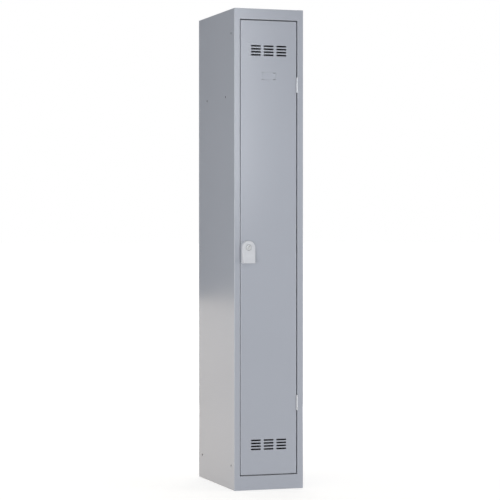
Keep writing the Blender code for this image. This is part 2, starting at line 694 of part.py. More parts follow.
def hinge_leaf(name, side, z, pivot=None):
    """A leaf on the stile (side 1) or on the door (side -1), rolled round the pin where its knuckles are."""
    outer = HINGE_GAP / 2 - SEAM
    inner = outer - LEAF
    back_y = FRONT + DOOR_DEPTH - LEAF_SETBACK
    start = math.degrees(math.acos(outer / KNUCKLE))
    stop = math.degrees(math.acos(inner / KNUCKLE)) - 360
    roll = [(x, HINGE_Y + y) for x, y in arc((0, 0), KNUCKLE, start, stop, ROUND_SIDES)]
    section = [(outer, back_y), *roll, (inner, back_y)]
    ends = z - HINGE_LENGTH / 2, z + HINGE_LENGTH / 2
    bm = bmesh.new()
    prism(bm, [(HINGE_X + side * x, y) for x, y in section], "Z", *ends)
    obj = mesh_object(name, bm)
    reach = KNUCKLE + OVERCUT
    clear_y = HINGE_Y + KNUCKLE + KNUCKLE_CLEARANCE
    middle = DOOR_KNUCKLE / 2
    if side > 0:
        spans = [(z - middle - KNUCKLE_GAP, z + middle + KNUCKLE_GAP)]
    else:
        spans = [(ends[0] - OVERCUT, z - middle), (z + middle, ends[1] + OVERCUT)]
    notches = bmesh.new()
    for low_z, high_z in spans:
        box(notches, (HINGE_X - reach, HINGE_Y - reach, low_z), (HINGE_X + reach, clear_y, high_z))
    boolean(obj, "DIFFERENCE", name + "_notches", notches)
    bore = bmesh.new()
    length = HINGE_LENGTH / 2 + OVERCUT
    rod(bore, PIN_BORE, -length, length, (HINGE_X, HINGE_Y, z), "Z", SMALL_SIDES)
    boolean(obj, "DIFFERENCE", name + "_bore", bore)
    return finish_piece(obj, ZINC, pivot)


def hinge_pin(name, z):
    neck = HINGE_LENGTH / 2 + SEAM
    end = neck + PIN_HEAD
    rim = PIN_RADIUS + PIN_HEAD_RIM
    profile = [(0, end), (rim, end), (rim, neck), (PIN_RADIUS, neck)]
    profile += [(radius, -place) for radius, place in reversed(profile)]
    bm = bmesh.new()
    turned(bm, profile, (HINGE_X, HINGE_Y, z), "Z", SMALL_SIDES)
    return finish_piece(mesh_object(name, bm), ZINC)


def door_buffer(name, z):
    """A rubber pad on the flat of the lock-side stop, just clear of the closed door's lip."""
    bm = bmesh.new()
    inner_x = STOP - JAMB_X
    low = (inner_x - BUFFER_WIDTH, FRONT + DOOR_DEPTH + SEAM, z - BUFFER_HEIGHT / 2)
    box(bm, low, (inner_x, STOP_Y - SEAM, z + BUFFER_HEIGHT / 2))
    return finish_piece(mesh_object(name, bm), RUBBER)


def flare(thickness, proud, top, bottom):
    """The front line of the handle as (y, z): flat at the top, then a hollow curve out to its lower lip."""
    out = proud - thickness
    fall = top - bottom
    radius = (fall * fall + out * out) / (2 * out)
    sweep = math.degrees(math.asin(fall / radius))
    centre = (FRONT - thickness - radius, top)
    return arc(centre, radius, 0, -sweep, 2 * ARC_STEPS)


def handle_outline():
    """The handle seen from the front: arched top corners and nearly square lower ones."""
    half = HANDLE_WIDTH / 2
    low, high = LOCK_X - half, LOCK_X + half
    top, bottom = HANDLE_TOP - HANDLE_ARCH, HANDLE_BOTTOM + HANDLE_FOOT_RADIUS
    points = arc((high - HANDLE_ARCH, top), HANDLE_ARCH, 0, 90)
    points += arc((low + HANDLE_ARCH, top), HANDLE_ARCH, 90, 180)
    points += arc((low + HANDLE_FOOT_RADIUS, bottom), HANDLE_FOOT_RADIUS, 180, 270, FOLD_STEPS)
    points += arc((high - HANDLE_FOOT_RADIUS, bottom), HANDLE_FOOT_RADIUS, 270, 360, FOLD_STEPS)
    return points


def handle_screw_places():
    return LOCK_X - HANDLE_SCREW_OFFSET, LOCK_X + HANDLE_SCREW_OFFSET


def lock_handle(pivot):
    bm = bmesh.new()
    front = prism(bm, handle_outline(), "Y", HANDLE_BACK_Y, FRONT - HANDLE_PROUD)
    height = HANDLE_RISE + HANDLE_FALL
    foot = Vector((LOCK_X, 0, HANDLE_BOTTOM))
    bmesh.ops.translate(bm, verts=front, vec=-foot)
    drafted = (1 - 2 * HANDLE_DRAFT / HANDLE_WIDTH, 1, 1 - HANDLE_DRAFT / height)
    bmesh.ops.scale(bm, verts=front, vec=drafted)
    bmesh.ops.translate(bm, verts=front, vec=foot)
    obj = mesh_object("lock_handle", bm)
    rear = FRONT + OVERCUT
    lip_top = HANDLE_BOTTOM + HANDLE_LIP
    half = HANDLE_WIDTH / 2 + OVERCUT
    face = [(rear, HANDLE_TOP + OVERCUT), (HANDLE_FACE_Y, HANDLE_TOP + OVERCUT)]
    face += flare(HANDLE_THICK, HANDLE_PROUD, FLARE_TOP, lip_top)
    below = HANDLE_BOTTOM - OVERCUT
    face += [(FRONT - HANDLE_PROUD, below), (rear, below)]
    front_shape = bmesh.new()
    prism(front_shape, face, "X", LOCK_X - half, LOCK_X + half)
    boolean(obj, "INTERSECT", "handle_front", front_shape)
    pocket_top = FLARE_TOP - HANDLE_WALL
    pocket = [(rear, pocket_top)]
    pocket += flare(HANDLE_THICK - HANDLE_WALL, HANDLE_PROUD - HANDLE_WALL, pocket_top, lip_top)
    pocket += [(FRONT - HANDLE_PROUD + HANDLE_WALL, below), (rear, below)]
    half_pocket = HANDLE_WIDTH / 2 - HANDLE_DRAFT - HANDLE_WALL
    finger_space = bmesh.new()
    prism(finger_space, pocket, "X", LOCK_X - half_pocket, LOCK_X + half_pocket)
    boolean(obj, "DIFFERENCE", "handle_finger_space", finger_space)
    bore = bmesh.new()
    seat = LOCK_FLANGE_RADIUS + SEAM
    hole = LOCK_BODY + SEAM
    outside = FRONT - HANDLE_PROUD - OVERCUT
    profile = [(0, outside), (seat, outside), (seat, LOCK_SEAT_Y), (hole, LOCK_SEAT_Y)]
    profile += [(hole, rear), (0, rear)]
    turned(bore, profile, (LOCK_X, 0, LOCK_HEIGHT), "Y")
    boolean(obj, "DIFFERENCE", "handle_lock_bore", bore)
    pilots = bmesh.new()
    for x in handle_screw_places():
        place = (x, 0, HANDLE_SCREW_Z)
        end = FRONT - HANDLE_SCREW_REACH - SEAM
        rod(pilots, HANDLE_SCREW_RADIUS + SEAM, end, rear, place, "Y", SMALL_SIDES)
    boolean(obj, "DIFFERENCE", "handle_pilot_holes", pilots)
    return finish_piece(obj, GREY_PLASTIC, pivot)


def handle_screws(pivot):
    head = DOOR_INSIDE_Y
    rim = HANDLE_SCREW_HEAD_RADIUS
    top = head + HANDLE_SCREW_HEAD
    for x, side_name in zip(handle_screw_places(), ("left", "right")):
        profile = [(0, FRONT - HANDLE_SCREW_REACH), (HANDLE_SCREW_RADIUS, FRONT - HANDLE_SCREW_REACH)]
        profile += [(HANDLE_SCREW_RADIUS, head), (rim, head), (rim, top), (0, top)]
        bm = bmesh.new()
        turned(bm, profile, (x, 0, HANDLE_SCREW_Z), "Y", SMALL_SIDES)
        obj = mesh_object("handle_screw_" + side_name, bm)
        slot_screw(obj, (x, top, HANDLE_SCREW_Z), rim, HANDLE_SCREW_HEAD / 2)
        finish_piece(obj, ZINC, pivot)


def slot_screw(obj, top, rim, depth):
    """Cuts a driver slot into a screw head that faces the inside of the locker."""
    slot = bmesh.new()
    reach = rim + OVERCUT
    low = (top[0] - reach, top[1] - depth, top[2] - SCREW_SLOT / 2)
    box(slot, low, (top[0] + reach, top[1] + OVERCUT, top[2] + SCREW_SLOT / 2))
    boolean(obj, "DIFFERENCE", obj.name + "_slot", slot)


def lock_housing(pivot):
    bm = bmesh.new()
    head_bore = PLUG_RADIUS + PLUG_HEAD_RIM + PLUG_CLEARANCE
    shoulder = LOCK_FACE_Y + SEAM + PLUG_HEAD + SEAM
    under_flange = LOCK_FACE_Y + LOCK_FLANGE
    profile = [(head_bore, LOCK_FACE_Y), (LOCK_FLANGE_RADIUS, LOCK_FACE_Y)]
    profile += [(LOCK_FLANGE_RADIUS, under_flange), (LOCK_BODY, under_flange)]
    profile += [(LOCK_BODY, LOCK_REAR_Y), (LOCK_BORE, LOCK_REAR_Y)]
    profile += [(LOCK_BORE, shoulder), (head_bore, shoulder)]
    turned(bm, profile, (LOCK_X, 0, LOCK_HEIGHT), "Y")
    return finish_piece(mesh_object("lock_housing", bm), NICKEL, pivot)


def lock_nut(pivot):
    bm = bmesh.new()
    outline = circle((LOCK_X, LOCK_HEIGHT), NUT_RADIUS, NUT_SIDES)
    prism(bm, outline, "Y", DOOR_INSIDE_Y, DOOR_INSIDE_Y + NUT_THICK)
    obj = mesh_object("lock_nut", bm)
    bore = bmesh.new()
    span = DOOR_INSIDE_Y - OVERCUT, DOOR_INSIDE_Y + NUT_THICK + OVERCUT
    prism(bore, circle((LOCK_X, LOCK_HEIGHT), LOCK_BODY + SEAM), "Y", *span)
    boolean(obj, "DIFFERENCE", "lock_nut_bore", bore)
    return finish_piece(obj, ZINC, pivot)


def lock_plug(pivot):
    """The turning core: a head with the key slot in front, and a square spigot for the cam behind."""
    face = LOCK_FACE_Y + SEAM
    neck = face + PLUG_HEAD
    rim = PLUG_RADIUS + PLUG_HEAD_RIM
    profile = [(0, face), (rim, face), (rim, neck), (PLUG_RADIUS, neck), (PLUG_RADIUS, LOCK_REAR_Y)]
    profile.append((0, LOCK_REAR_Y))
    centre = (LOCK_X, 0, LOCK_HEIGHT)
    bm = bmesh.new()
    turned(bm, profile, centre, "Y")
    obj = mesh_object("lock_plug", bm)
    spigot = bmesh.new()
    low = (LOCK_X - SPIGOT / 2, LOCK_HEIGHT - SPIGOT / 2)
    high = (LOCK_X + SPIGOT / 2, LOCK_HEIGHT + SPIGOT / 2)
    prism(spigot, rectangle(low, high), "Y", LOCK_REAR_Y - OVERCUT, CAM_REAR_Y - SEAM)
    boolean(obj, "UNION", "plug_spigot", spigot)
    thread = bmesh.new()
    start = CAM_REAR_Y - CAM_SCREW_REACH - SEAM
    rod(thread, CAM_SCREW_RADIUS + SEAM, start, CAM_REAR_Y + OVERCUT, centre, "Y", SMALL_SIDES)
    boolean(obj, "DIFFERENCE", "plug_thread", thread)
    keyway = bmesh.new()
    low = (LOCK_X - KEYWAY_WIDTH / 2, face - OVERCUT, LOCK_HEIGHT - KEYWAY_HEIGHT / 2)
    box(keyway, low, (LOCK_X + KEYWAY_WIDTH / 2, face + KEYWAY_DEPTH, LOCK_HEIGHT + KEYWAY_HEIGHT / 2))
    boolean(obj, "DIFFERENCE", "plug_keyway", keyway)
    return finish_piece(obj, NICKEL, pivot)


def lock_cam(pivot):
    """The cam hangs down when unlocked, and turns to reach behind the stop of the lock-side stile."""
    half = CAM_WIDTH / 2
    low_z = LOCK_HEIGHT - CAM_REACH
    corner = CAM_TIP_RADIUS
    outline = arc((LOCK_X, LOCK_HEIGHT), half, 0, 180, 2 * ARC_STEPS)
    outline += arc((LOCK_X - half + corner, low_z + corner), corner, 180, 270)
    outline += arc((LOCK_X + half - corner, low_z + corner), corner, 270, 360)
    bm = bmesh.new()
    prism(bm, outline, "Y", CAM_FRONT_Y, CAM_REAR_Y)
    obj = mesh_object("lock_cam", bm)
    hole = bmesh.new()
    reach = SPIGOT / 2 + SEAM
    low = (LOCK_X - reach, LOCK_HEIGHT - reach)
    high = (LOCK_X + reach, LOCK_HEIGHT + reach)
    prism(hole, rectangle(low, high), "Y", CAM_FRONT_Y - OVERCUT, CAM_REAR_Y + OVERCUT)
    boolean(obj, "DIFFERENCE", "cam_hole", hole)
    return finish_piece(obj, ZINC, pivot)


def cam_screw(pivot):
    head = CAM_REAR_Y + SEAM
    top = head + CAM_SCREW_HEAD
    tip = CAM_REAR_Y - CAM_SCREW_REACH
    rim = CAM_SCREW_RADIUS + CAM_SCREW_HEAD_RIM
    profile = [(0, tip), (CAM_SCREW_RADIUS, tip), (CAM_SCREW_RADIUS, head)]
    profile += [(rim, head), (rim, top), (0, top)]
    bm = bmesh.new()
    turned(bm, profile, (LOCK_X, 0, LOCK_HEIGHT), "Y", SMALL_SIDES)
    obj = mesh_object("cam_screw", bm)
    slot_screw(obj, (LOCK_X, top, LOCK_HEIGHT), rim, CAM_SCREW_HEAD / 2)
    return finish_piece(obj, ZINC, pivot)


def build_carcass():
    side_panel("left_side_panel", -1)
    side_panel("right_side_panel", 1)
    back_panel()
    roof_panel()
    floor_panel()
    header_rail()
    plinth_rail()
    hat_shelf()
    shelf_rivets()
    hanging_rail()
    rail_bracket("rail_bracket_left", -1)
    rail_bracket("rail_bracket_right", 1)
    coat_hook("coat_hook_left", -HOOK_SPACING / 2)
    coat_hook("coat_hook_right", HOOK_SPACING / 2)
    for end, z in HINGE_HEIGHTS.items():
        hinge_leaf(f"hinge_{end}_frame_leaf", 1, z)
        hinge_pin(f"hinge_{end}_pin", z)
    door_buffer("door_buffer_upper", DOOR_TOP - BUFFER_INSET)
    door_buffer("door_buffer_lower", DOOR_BOTTOM + BUFFER_INSET)


def build_door():
    hinge = make_pivot("door_hinge_axis", (HINGE_X, HINGE_Y, DOOR_BOTTOM))
    door_skin(hinge)
    door_stiffener(hinge)
    for end, z in HINGE_HEIGHTS.items():
        hinge_leaf(f"hinge_{end}_door_leaf", -1, z, hinge)
    lock_handle(hinge)
    handle_screws(hinge)
    lock_housing(hinge)
    lock_nut(hinge)
    turn = make_pivot("lock_turn_axis", (LOCK_X, LOCK_FACE_Y, LOCK_HEIGHT), hinge)
    lock_plug(turn)
    lock_cam(turn)
    cam_screw(turn)


clear_scene()
build_carcass()
build_door()
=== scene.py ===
# %% [markdown]
# # Office locker
# A tall, narrow steel locker with one door hung on the right, a lock in a moulded handle, a shelf,
# and a rail with two hooks. The CAD model is loaded first as a fixed frame. It gives every place
# and every joint, so each piece below is modelled where the frame says, and is then tied to the
# body that it moves with.

# %% Load the frame
import json
import math

import bmesh
import bpy
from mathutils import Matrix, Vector


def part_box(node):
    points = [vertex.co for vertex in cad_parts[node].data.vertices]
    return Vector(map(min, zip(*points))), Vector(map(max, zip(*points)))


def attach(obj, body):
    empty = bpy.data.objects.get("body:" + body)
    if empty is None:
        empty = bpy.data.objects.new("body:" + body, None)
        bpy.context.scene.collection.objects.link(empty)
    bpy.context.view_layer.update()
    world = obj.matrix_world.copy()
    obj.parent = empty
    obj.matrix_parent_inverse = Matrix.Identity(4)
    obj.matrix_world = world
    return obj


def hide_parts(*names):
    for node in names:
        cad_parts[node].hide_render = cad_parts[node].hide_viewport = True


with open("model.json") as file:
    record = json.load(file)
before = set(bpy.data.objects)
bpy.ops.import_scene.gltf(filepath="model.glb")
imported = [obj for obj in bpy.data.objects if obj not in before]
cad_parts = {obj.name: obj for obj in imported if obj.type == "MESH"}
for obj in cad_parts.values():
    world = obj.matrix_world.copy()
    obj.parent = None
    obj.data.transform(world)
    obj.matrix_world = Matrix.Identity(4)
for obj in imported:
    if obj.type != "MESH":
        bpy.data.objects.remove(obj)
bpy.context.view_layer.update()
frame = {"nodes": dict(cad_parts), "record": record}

# %% [markdown]
# ## Camera
# The picture was taken from about 8 m, a little to the left of the locker and at half its height,
# with a long lens. Those numbers came from matching the frame's corners to the picture. A long lens
# far away keeps the upright edges almost parallel, which a short lens close by can't. An operator
# works on all that is selected, so a small helper deselects everything before it adds an object.

# %% Camera
LENS = 137.15
SENSOR = 36.0
CAMERA_PLACE = (-2.5475, -7.6655, 1.0517)
CAMERA_YAW = -0.3206
CAMERA_PITCH = -0.0081
QUARTER = math.pi / 2


def add_new(operator, **settings):
    """Adds an object by an operator, with nothing else selected, and gives it."""
    bpy.ops.object.select_all(action="DESELECT")
    operator(**settings)
    return bpy.context.object


camera_turn = (QUARTER + CAMERA_PITCH, 0, CAMERA_YAW)
camera = add_new(bpy.ops.object.camera_add, location=CAMERA_PLACE, rotation=camera_turn)
camera.data.lens = LENS
camera.data.sensor_width = SENSOR
bpy.context.scene.camera = camera
bpy.context.scene.view_settings.view_transform = "Standard"
print("camera:", [round(value, 3) for value in camera.location])

# %% [markdown]
# ## White surroundings
# The locker stands in a white studio: a pale world all around, and one large plane as its floor.
# The camera and mirrors see the world white, while it lights the locker with less. The floor takes
# shadows as any floor does, and gives off just enough light towards the camera that it ends as
# white as the world. That glow is weaker near the locker, so that its faint shadow stays, and a
# little warm in reflections. More light would whiten the floor too, but would bleach the locker.
# Nodes are added by a few helpers, which put a plain value or another node's output into a socket,
# whichever they are given.


# %% Helpers for nodes
def set_inputs(tree, node, inputs):
    """Puts numbers, colours or other nodes' outputs into a node's inputs."""
    for label, value in inputs.items():
        if isinstance(value, bpy.types.NodeSocket):
            tree.links.new(value, node.inputs[label])
        else:
            node.inputs[label].default_value = value


def add_node(tree, kind, inputs=None, **settings):
    node = tree.nodes.new("ShaderNode" + kind)
    for label, value in settings.items():
        setattr(node, label, value)
    set_inputs(tree, node, inputs or {})
    return node


def calculate(tree, operation, *values):
    return add_node(tree, "Math", dict(enumerate(values)), operation=operation).outputs[0]


def map_range(tree, value, low, high, start=0.0, stop=1.0, **settings):
    """Takes a value from between start and stop to between low and high."""
    ranges = {"From Min": start, "From Max": stop, "To Min": low, "To Max": high}
    return add_node(tree, "MapRange", {"Value": value, **ranges}, **settings).outputs["Result"]


MIX_FACTOR, MIX_FIRST, MIX_SECOND, MIX_RESULT = 0, 6, 7, 2


def mix_colour(tree, factor, first, second):
    colours = {MIX_FACTOR: factor, MIX_FIRST: first, MIX_SECOND: second}
    return add_node(tree, "Mix", colours, data_type="RGBA").outputs[MIX_RESULT]


def object_place(tree):
    return add_node(tree, "TexCoord").outputs["Object"]


print("helpers for nodes ready")

# %% World
WHITE = (1, 1, 1, 1)
WORLD_STRENGTH = 0.36


def seen_or_mirrored(tree):
    """One for a ray from the camera, a mirror or a glass, and nought for one that only lights."""
    path = add_node(tree, "LightPath").outputs
    mirrored = calculate(tree, "MAXIMUM", path["Is Glossy Ray"], path["Is Transmission Ray"])
    return calculate(tree, "MAXIMUM", path["Is Camera Ray"], mirrored)


world = bpy.data.worlds.new("pale_studio")
world.use_nodes = True
bpy.context.scene.world = world
world_tree = world.node_tree
world_strength = map_range(world_tree, seen_or_mirrored(world_tree), WORLD_STRENGTH, 1.0)
background = {"Color": WHITE, "Strength": world_strength}
set_inputs(world_tree, world_tree.nodes["Background"], background)
print("world:", world.name)

# %% Floor
FLOOR_SIZE = 400.0
FLOOR_COLOUR = (0.59, 0.58, 0.563, 1)
FLOOR_ROUGHNESS = 0.9
FLOOR_GLOW = 0.86
FLOOR_NEAR, FLOOR_FAR = 0.9, 2.6
FLOOR_NEAR_SHARE = 0.695
FLOOR_WARMTH = (1.0, 0.85, 0.67, 1)


def new_material(name):
    """A fresh node material, with its node tree and its shader."""
    material = bpy.data.materials.new(name)
    material.use_nodes = True
    return material, material.node_tree, material.node_tree.nodes["Principled BSDF"]


def floor_glow(tree):
    """The colour of the floor's own light: grey near the locker, white far off, warm in mirrors."""
    reach = add_node(tree, "VectorMath", {0: object_place(tree)}, operation="LENGTH")
    limits = {"low": FLOOR_NEAR_SHARE, "high": 1.0, "start": FLOOR_NEAR, "stop": FLOOR_FAR}
    smooth = {"interpolation_type": "SMOOTHSTEP"}
    share = map_range(tree, reach.outputs["Value"], **limits, **smooth)
    seen = add_node(tree, "LightPath").outputs["Is Camera Ray"]
    return mix_colour(tree, seen, FLOOR_WARMTH, share)


floor = add_new(bpy.ops.mesh.primitive_plane_add, size=FLOOR_SIZE)
floor.name = "studio_floor"
floor_finish, floor_tree, floor_shader = new_material("studio_floor")
floor_strength = calculate(floor_tree, "MULTIPLY", seen_or_mirrored(floor_tree), FLOOR_GLOW)
set_inputs(floor_tree, floor_shader, {
    "Base Color": FLOOR_COLOUR,
    "Roughness": FLOOR_ROUGHNESS,
    "Specular IOR Level": 0.0,
    "Emission Color": floor_glow(floor_tree),
    "Emission Strength": floor_strength,
})
floor.data.materials.append(floor_finish)
print("floor:", floor.name)

# %% [markdown]
# ## Light
# A soft lamp stands on each side of the front, a warmer one on the left for the side, one behind
# and one above. Two cards are seen only in reflections. A paint at a grazing angle mirrors what
# stands behind it, so the upper part of the left side goes dark where it mirrors the dark card, and
# its foot stays bright where it mirrors the floor. The bright card stands in front, and its soft
# mirror image lightens the upper left of the front. The same shades painted on would look right
# from one place only, while reflections move with the eye.

# %% Cards for reflections
CARDS = {
    "dark_card": {
        "place": (-0.52, 1.02, 2.045),
        "size": (3.2, 2.6),
        "turn": 0.4716,
        "shade": 0.05,
        "glow": 0.06,
    },
    "bright_card": {
        "place": (-0.03, -1.24, 1.72),
        "size": (0.34, 1.12),
        "turn": 0.0,
        "shade": 0.0,
        "glow": 7.8,
    },
}


def build_card(name, place, size, turn, shade, glow):
    """An upright card that only shows in reflections."""
    upright = {"location": place, "rotation": (QUARTER, 0, turn)}
    card = add_new(bpy.ops.mesh.primitive_plane_add, size=1, **upright)
    card.name = name
    card.scale = (*size, 1)
    material, tree, shader = new_material(name)
    set_inputs(tree, shader, {
        "Base Color": (shade, shade, shade, 1),
        "Roughness": 1.0,
        "Specular IOR Level": 0.0,
        "Emission Color": WHITE,
        "Emission Strength": glow,
    })
    card.data.materials.append(material)
    card.visible_camera = card.visible_diffuse = card.visible_shadow = False


for card_name, card_facts in CARDS.items():
    build_card(card_name, **card_facts)
print("cards:", list(CARDS))

# %% Lamps
FRONT_AIM = (0, -0.24, 0.72)
WARM = (1.0, 0.95, 0.86)
LAMPS = {
    "left_front": ((-3.15, -3.33, 0.72), FRONT_AIM, (3.2, 1.44), 92),
    "right_front": ((3.9, -2.3, 0.72), FRONT_AIM, (3.2, 1.44), 95),
    "left_side": ((-2.8, 0.5, 1.5), (-0.15, 0.0, 1.3), (2.0, 2.0), 13, WARM),
    "rear": ((0.9, 3.6, 1.1), (0, 0.26, 1.0), (3.2, 2.0), 76),
    "top": ((0, 0.5, 4.2), (0, 0.2, 2.0), (2.0, 2.0), 22),
}


def soft_lamp(name, place, aim, size, watts, colour=(1, 1, 1)):
    """A rectangular soft lamp that faces a point."""
    lamp = add_new(bpy.ops.object.light_add, type="AREA", location=place)
    lamp.name = name
    lamp.rotation_euler = (Vector(aim) - Vector(place)).to_track_quat("-Z", "Y").to_euler()
    lamp.data.shape = "RECTANGLE"
    lamp.data.size, lamp.data.size_y = size
    lamp.data.energy = watts
    lamp.data.color = colour


for lamp_name, lamp_facts in LAMPS.items():
    soft_lamp(lamp_name, *lamp_facts)
print("lamps:", list(LAMPS))

# %% [markdown]
# ## Shared surface effects
# Real finishes are never one flat colour. Three small effects come back in several finishes here,
# so each is a node group that is built once: a fine grain that lifts the surface, a slow drift of
# shade, and the dust that settles on whatever faces up. Each group only gives out a mask or a
# height. What that does to colour, roughness and relief is set in each material.


# %% Helpers for groups
def new_group(name, output, **inputs):
    """A shader node group with named values going in and one mask or height coming out."""
    tree = bpy.data.node_groups.new(name, "ShaderNodeTree")
    for label, value in inputs.items():
        socket = tree.interface.new_socket(label, in_out="INPUT", socket_type="NodeSocketFloat")
        socket.default_value = value
    tree.interface.new_socket(output, in_out="OUTPUT", socket_type="NodeSocketFloat")
    entry, leave = tree.nodes.new("NodeGroupInput"), tree.nodes.new("NodeGroupOutput")
    return tree, entry.outputs, leave


def noise(tree, **inputs):
    return add_node(tree, "TexNoise", {"Vector": object_place(tree), **inputs}).outputs["Fac"]


print("helpers for groups ready")

# %% Grain, drift and dust
DUST_SLOPE = {"start": 0.6, "stop": 0.98}


def build_grain():
    """Height of a sprayed or moulded surface: soft ripples with a finer grain on them."""
    values = {"Ripple": 260.0, "Grain": 1400.0, "Share": 0.3}
    tree, given, leave = new_group("surface_grain", "Height", **values)
    ripple = noise(tree, Scale=given["Ripple"], Detail=1.0, Roughness=0.4)
    grain = noise(tree, Scale=given["Grain"], Detail=2.0, Roughness=0.5)
    fine = calculate(tree, "MULTIPLY", grain, given["Share"])
    set_inputs(tree, leave, {"Height": calculate(tree, "ADD", ripple, fine)})
    return tree


def build_drift():
    """A slow cloud of shade between minus one and one."""
    tree, given, leave = new_group("shade_drift", "Shade", Scale=3.0)
    cloud = noise(tree, Scale=given["Scale"], Detail=3.0, Roughness=0.55)
    set_inputs(tree, leave, {"Shade": map_range(tree, cloud, -1.0, 1.0, clamp=False)})
    return tree


def build_dust():
    """A mask of settled dust: patchy, and only where the surface faces up."""
    tree, given, leave = new_group("settled_dust", "Dust", Amount=0.3, Patch=30.0)
    facing = add_node(tree, "NewGeometry").outputs["Normal"]
    up = add_node(tree, "SeparateXYZ", {0: facing}).outputs["Z"]
    amount = calculate(tree, "MULTIPLY", map_range(tree, up, 0, 1, **DUST_SLOPE), given["Amount"])
    patch = noise(tree, Scale=given["Patch"], Detail=4.0, Roughness=0.6)
    set_inputs(tree, leave, {"Dust": calculate(tree, "MULTIPLY", amount, patch)})
    return tree


GRAIN, DRIFT, DUST = build_grain(), build_drift(), build_dust()
print("groups:", [group.name for group in (GRAIN, DRIFT, DUST)])

# %% [markdown]
# ## Grey powder coat
# Nearly all of the locker is sheet steel under a smooth blue-grey powder coat. Baked powder flows
# into a skin with a faint orange peel, so it mirrors softly and unevenly. The colour drifts by a
# percent or two, ledges hold a little dust, and along the folds, which each mesh marks with an
# attribute, the paint turns lighter: partly a thinner coat, and partly a painted highlight. A
# picture of paint could be wrapped round the sheets instead, but noise in the locker's own space
# needs no unwrapping and has no seams.


# %% Helpers for finishes
def use_group(tree, group, **values):
    """Places a shared effect with its own values; gives its mask or height."""
    node = tree.nodes.new("ShaderNodeGroup")
    node.node_tree = group
    set_inputs(tree, node, values)
    return node.outputs[0]


def drift_mask(tree, scale):
    """The slow drift of shade, from nought to one."""
    return map_range(tree, use_group(tree, DRIFT, Scale=scale), 0, 1, start=-1, stop=1)


def shaded(colour, share):
    return (*(channel * share for channel in colour[:3]), 1)


def rubbed_and_highlighted(tree, colour, rim_colour, most):
    """Turns a colour towards another along folds and rims by the mesh's mark: wear, and on paint a
    painted highlight.
    """
    mark = add_node(tree, "Attribute", attribute_name="rub_and_highlight").outputs["Fac"]
    return mix_colour(tree, map_range(tree, mark, 0, most), colour, rim_colour)


def relief(tree, height, strength, distance):
    values = {"Height": height, "Strength": strength, "Distance": distance}
    return add_node(tree, "Bump", values).outputs["Normal"]


print("helpers for finishes ready")

# %% Grey powder coat
PAINT_COLOUR = (0.388, 0.417, 0.480, 1)
PAINT_DRIFT = 0.02
# Along folds and rims the paint turns lighter: partly a thinner coat, partly a painted highlight.
PAINT_THIN_AND_HIGHLIGHT, PAINT_THIN_AND_HIGHLIGHT_MOST = (0.52, 0.55, 0.60, 1), 0.7
PAINT_SMOOTHEST, PAINT_ROUGHEST = 0.27, 0.33
DUST_COLOUR = (0.55, 0.53, 0.50, 1)
DUST_DULLS = 0.5


def build_paint():
    material, tree, shader = new_material("grey_powder_coat")
    shade = drift_mask(tree, 2.4)
    deep, pale = (shaded(PAINT_COLOUR, 1 + way * PAINT_DRIFT) for way in (-1, 1))
    colour = mix_colour(tree, shade, deep, pale)
    colour = rubbed_and_highlighted(tree, colour, PAINT_THIN_AND_HIGHLIGHT, PAINT_THIN_AND_HIGHLIGHT_MOST)
    dust = use_group(tree, DUST, Amount=0.5, Patch=26.0)
    rough = map_range(tree, shade, PAINT_SMOOTHEST, PAINT_ROUGHEST)
    grain = use_group(tree, GRAIN, Ripple=230.0, Grain=1500.0, Share=0.25)
    set_inputs(tree, shader, {
        "Base Color": mix_colour(tree, dust, colour, DUST_COLOUR),
        "Roughness": calculate(tree, "MULTIPLY_ADD", dust, DUST_DULLS, rough),
        "Normal": relief(tree, grain, strength=0.12, distance=0.0004),
    })
    return material


PAINT = build_paint()
print("finish:", PAINT.name)

# %% [markdown]
# ## Moulded grey plastic
# The handle is a light-grey moulding. Its mould was etched, so the skin has a fine dull grain,
# finer and deeper than the paint's, and it scatters light where the paint mirrors it. The same
# grain group makes it, with other values, so a change to the group reaches both.

# %% Moulded grey plastic
PLASTIC_COLOUR = (0.595, 0.615, 0.66, 1)
PLASTIC_DEEP = shaded(PLASTIC_COLOUR, 0.96)
PLASTIC_WORN, PLASTIC_WORN_MOST = (0.68, 0.695, 0.73, 1), 0.5


def build_plastic():
    material, tree, shader = new_material("moulded_grey_plastic")
    shade = drift_mask(tree, 40.0)
    colour = mix_colour(tree, shade, PLASTIC_DEEP, PLASTIC_COLOUR)
    colour = rubbed_and_highlighted(tree, colour, PLASTIC_WORN, PLASTIC_WORN_MOST)
    dust = use_group(tree, DUST, Amount=0.4, Patch=90.0)
    grain = use_group(tree, GRAIN, Ripple=700.0, Grain=2600.0, Share=0.8)
    set_inputs(tree, shader, {
        "Base Color": mix_colour(tree, dust, colour, DUST_COLOUR),
        "Roughness": map_range(tree, shade, 0.42, 0.52),
        "Normal": relief(tree, grain, strength=0.25, distance=0.0002),
    })
    return material


PLASTIC = build_plastic()
print("finish:", PLASTIC.name)

# %% [markdown]
# ## Plated and plain metals
# Hinges, rail, hooks and fixings are zinc plated: bright, a little blue, and cloudy. The rivets are
# steel under a dull black oxide, which hardly shines and isn't a bare metal to the eye. Both follow
# one cloud of noise and the shared grain, so one function builds them. Two plain colours would do
# from afar, but close to, plating without its clouds looks like paint.

# %% Zinc and blackened steel
METAL_BUMP = 0.0002
ZINC_COLOUR, ZINC_CLOUD = (0.42, 0.44, 0.47, 1), (0.36, 0.385, 0.42, 1)
BLACKENED_COLOUR, BLACKENED_RUST = (0.016, 0.016, 0.018, 1), (0.030, 0.026, 0.022, 1)
BLACKENED_GLOSS = 0.15


def build_metal(name, colour, cloud, scale, rough, ripple, bump, plain):
    """A metal whose colour, roughness and relief follow one cloud and the shared grain."""
    material, tree, shader = new_material(name)
    shade = drift_mask(tree, scale)
    grain = use_group(tree, GRAIN, Ripple=ripple, Grain=ripple * 4, Share=0.5)
    set_inputs(tree, shader, {
        "Base Color": mix_colour(tree, shade, cloud, colour),
        "Roughness": map_range(tree, shade, *rough),
        "Normal": relief(tree, grain, strength=bump, distance=METAL_BUMP),
        **plain,
    })
    return material


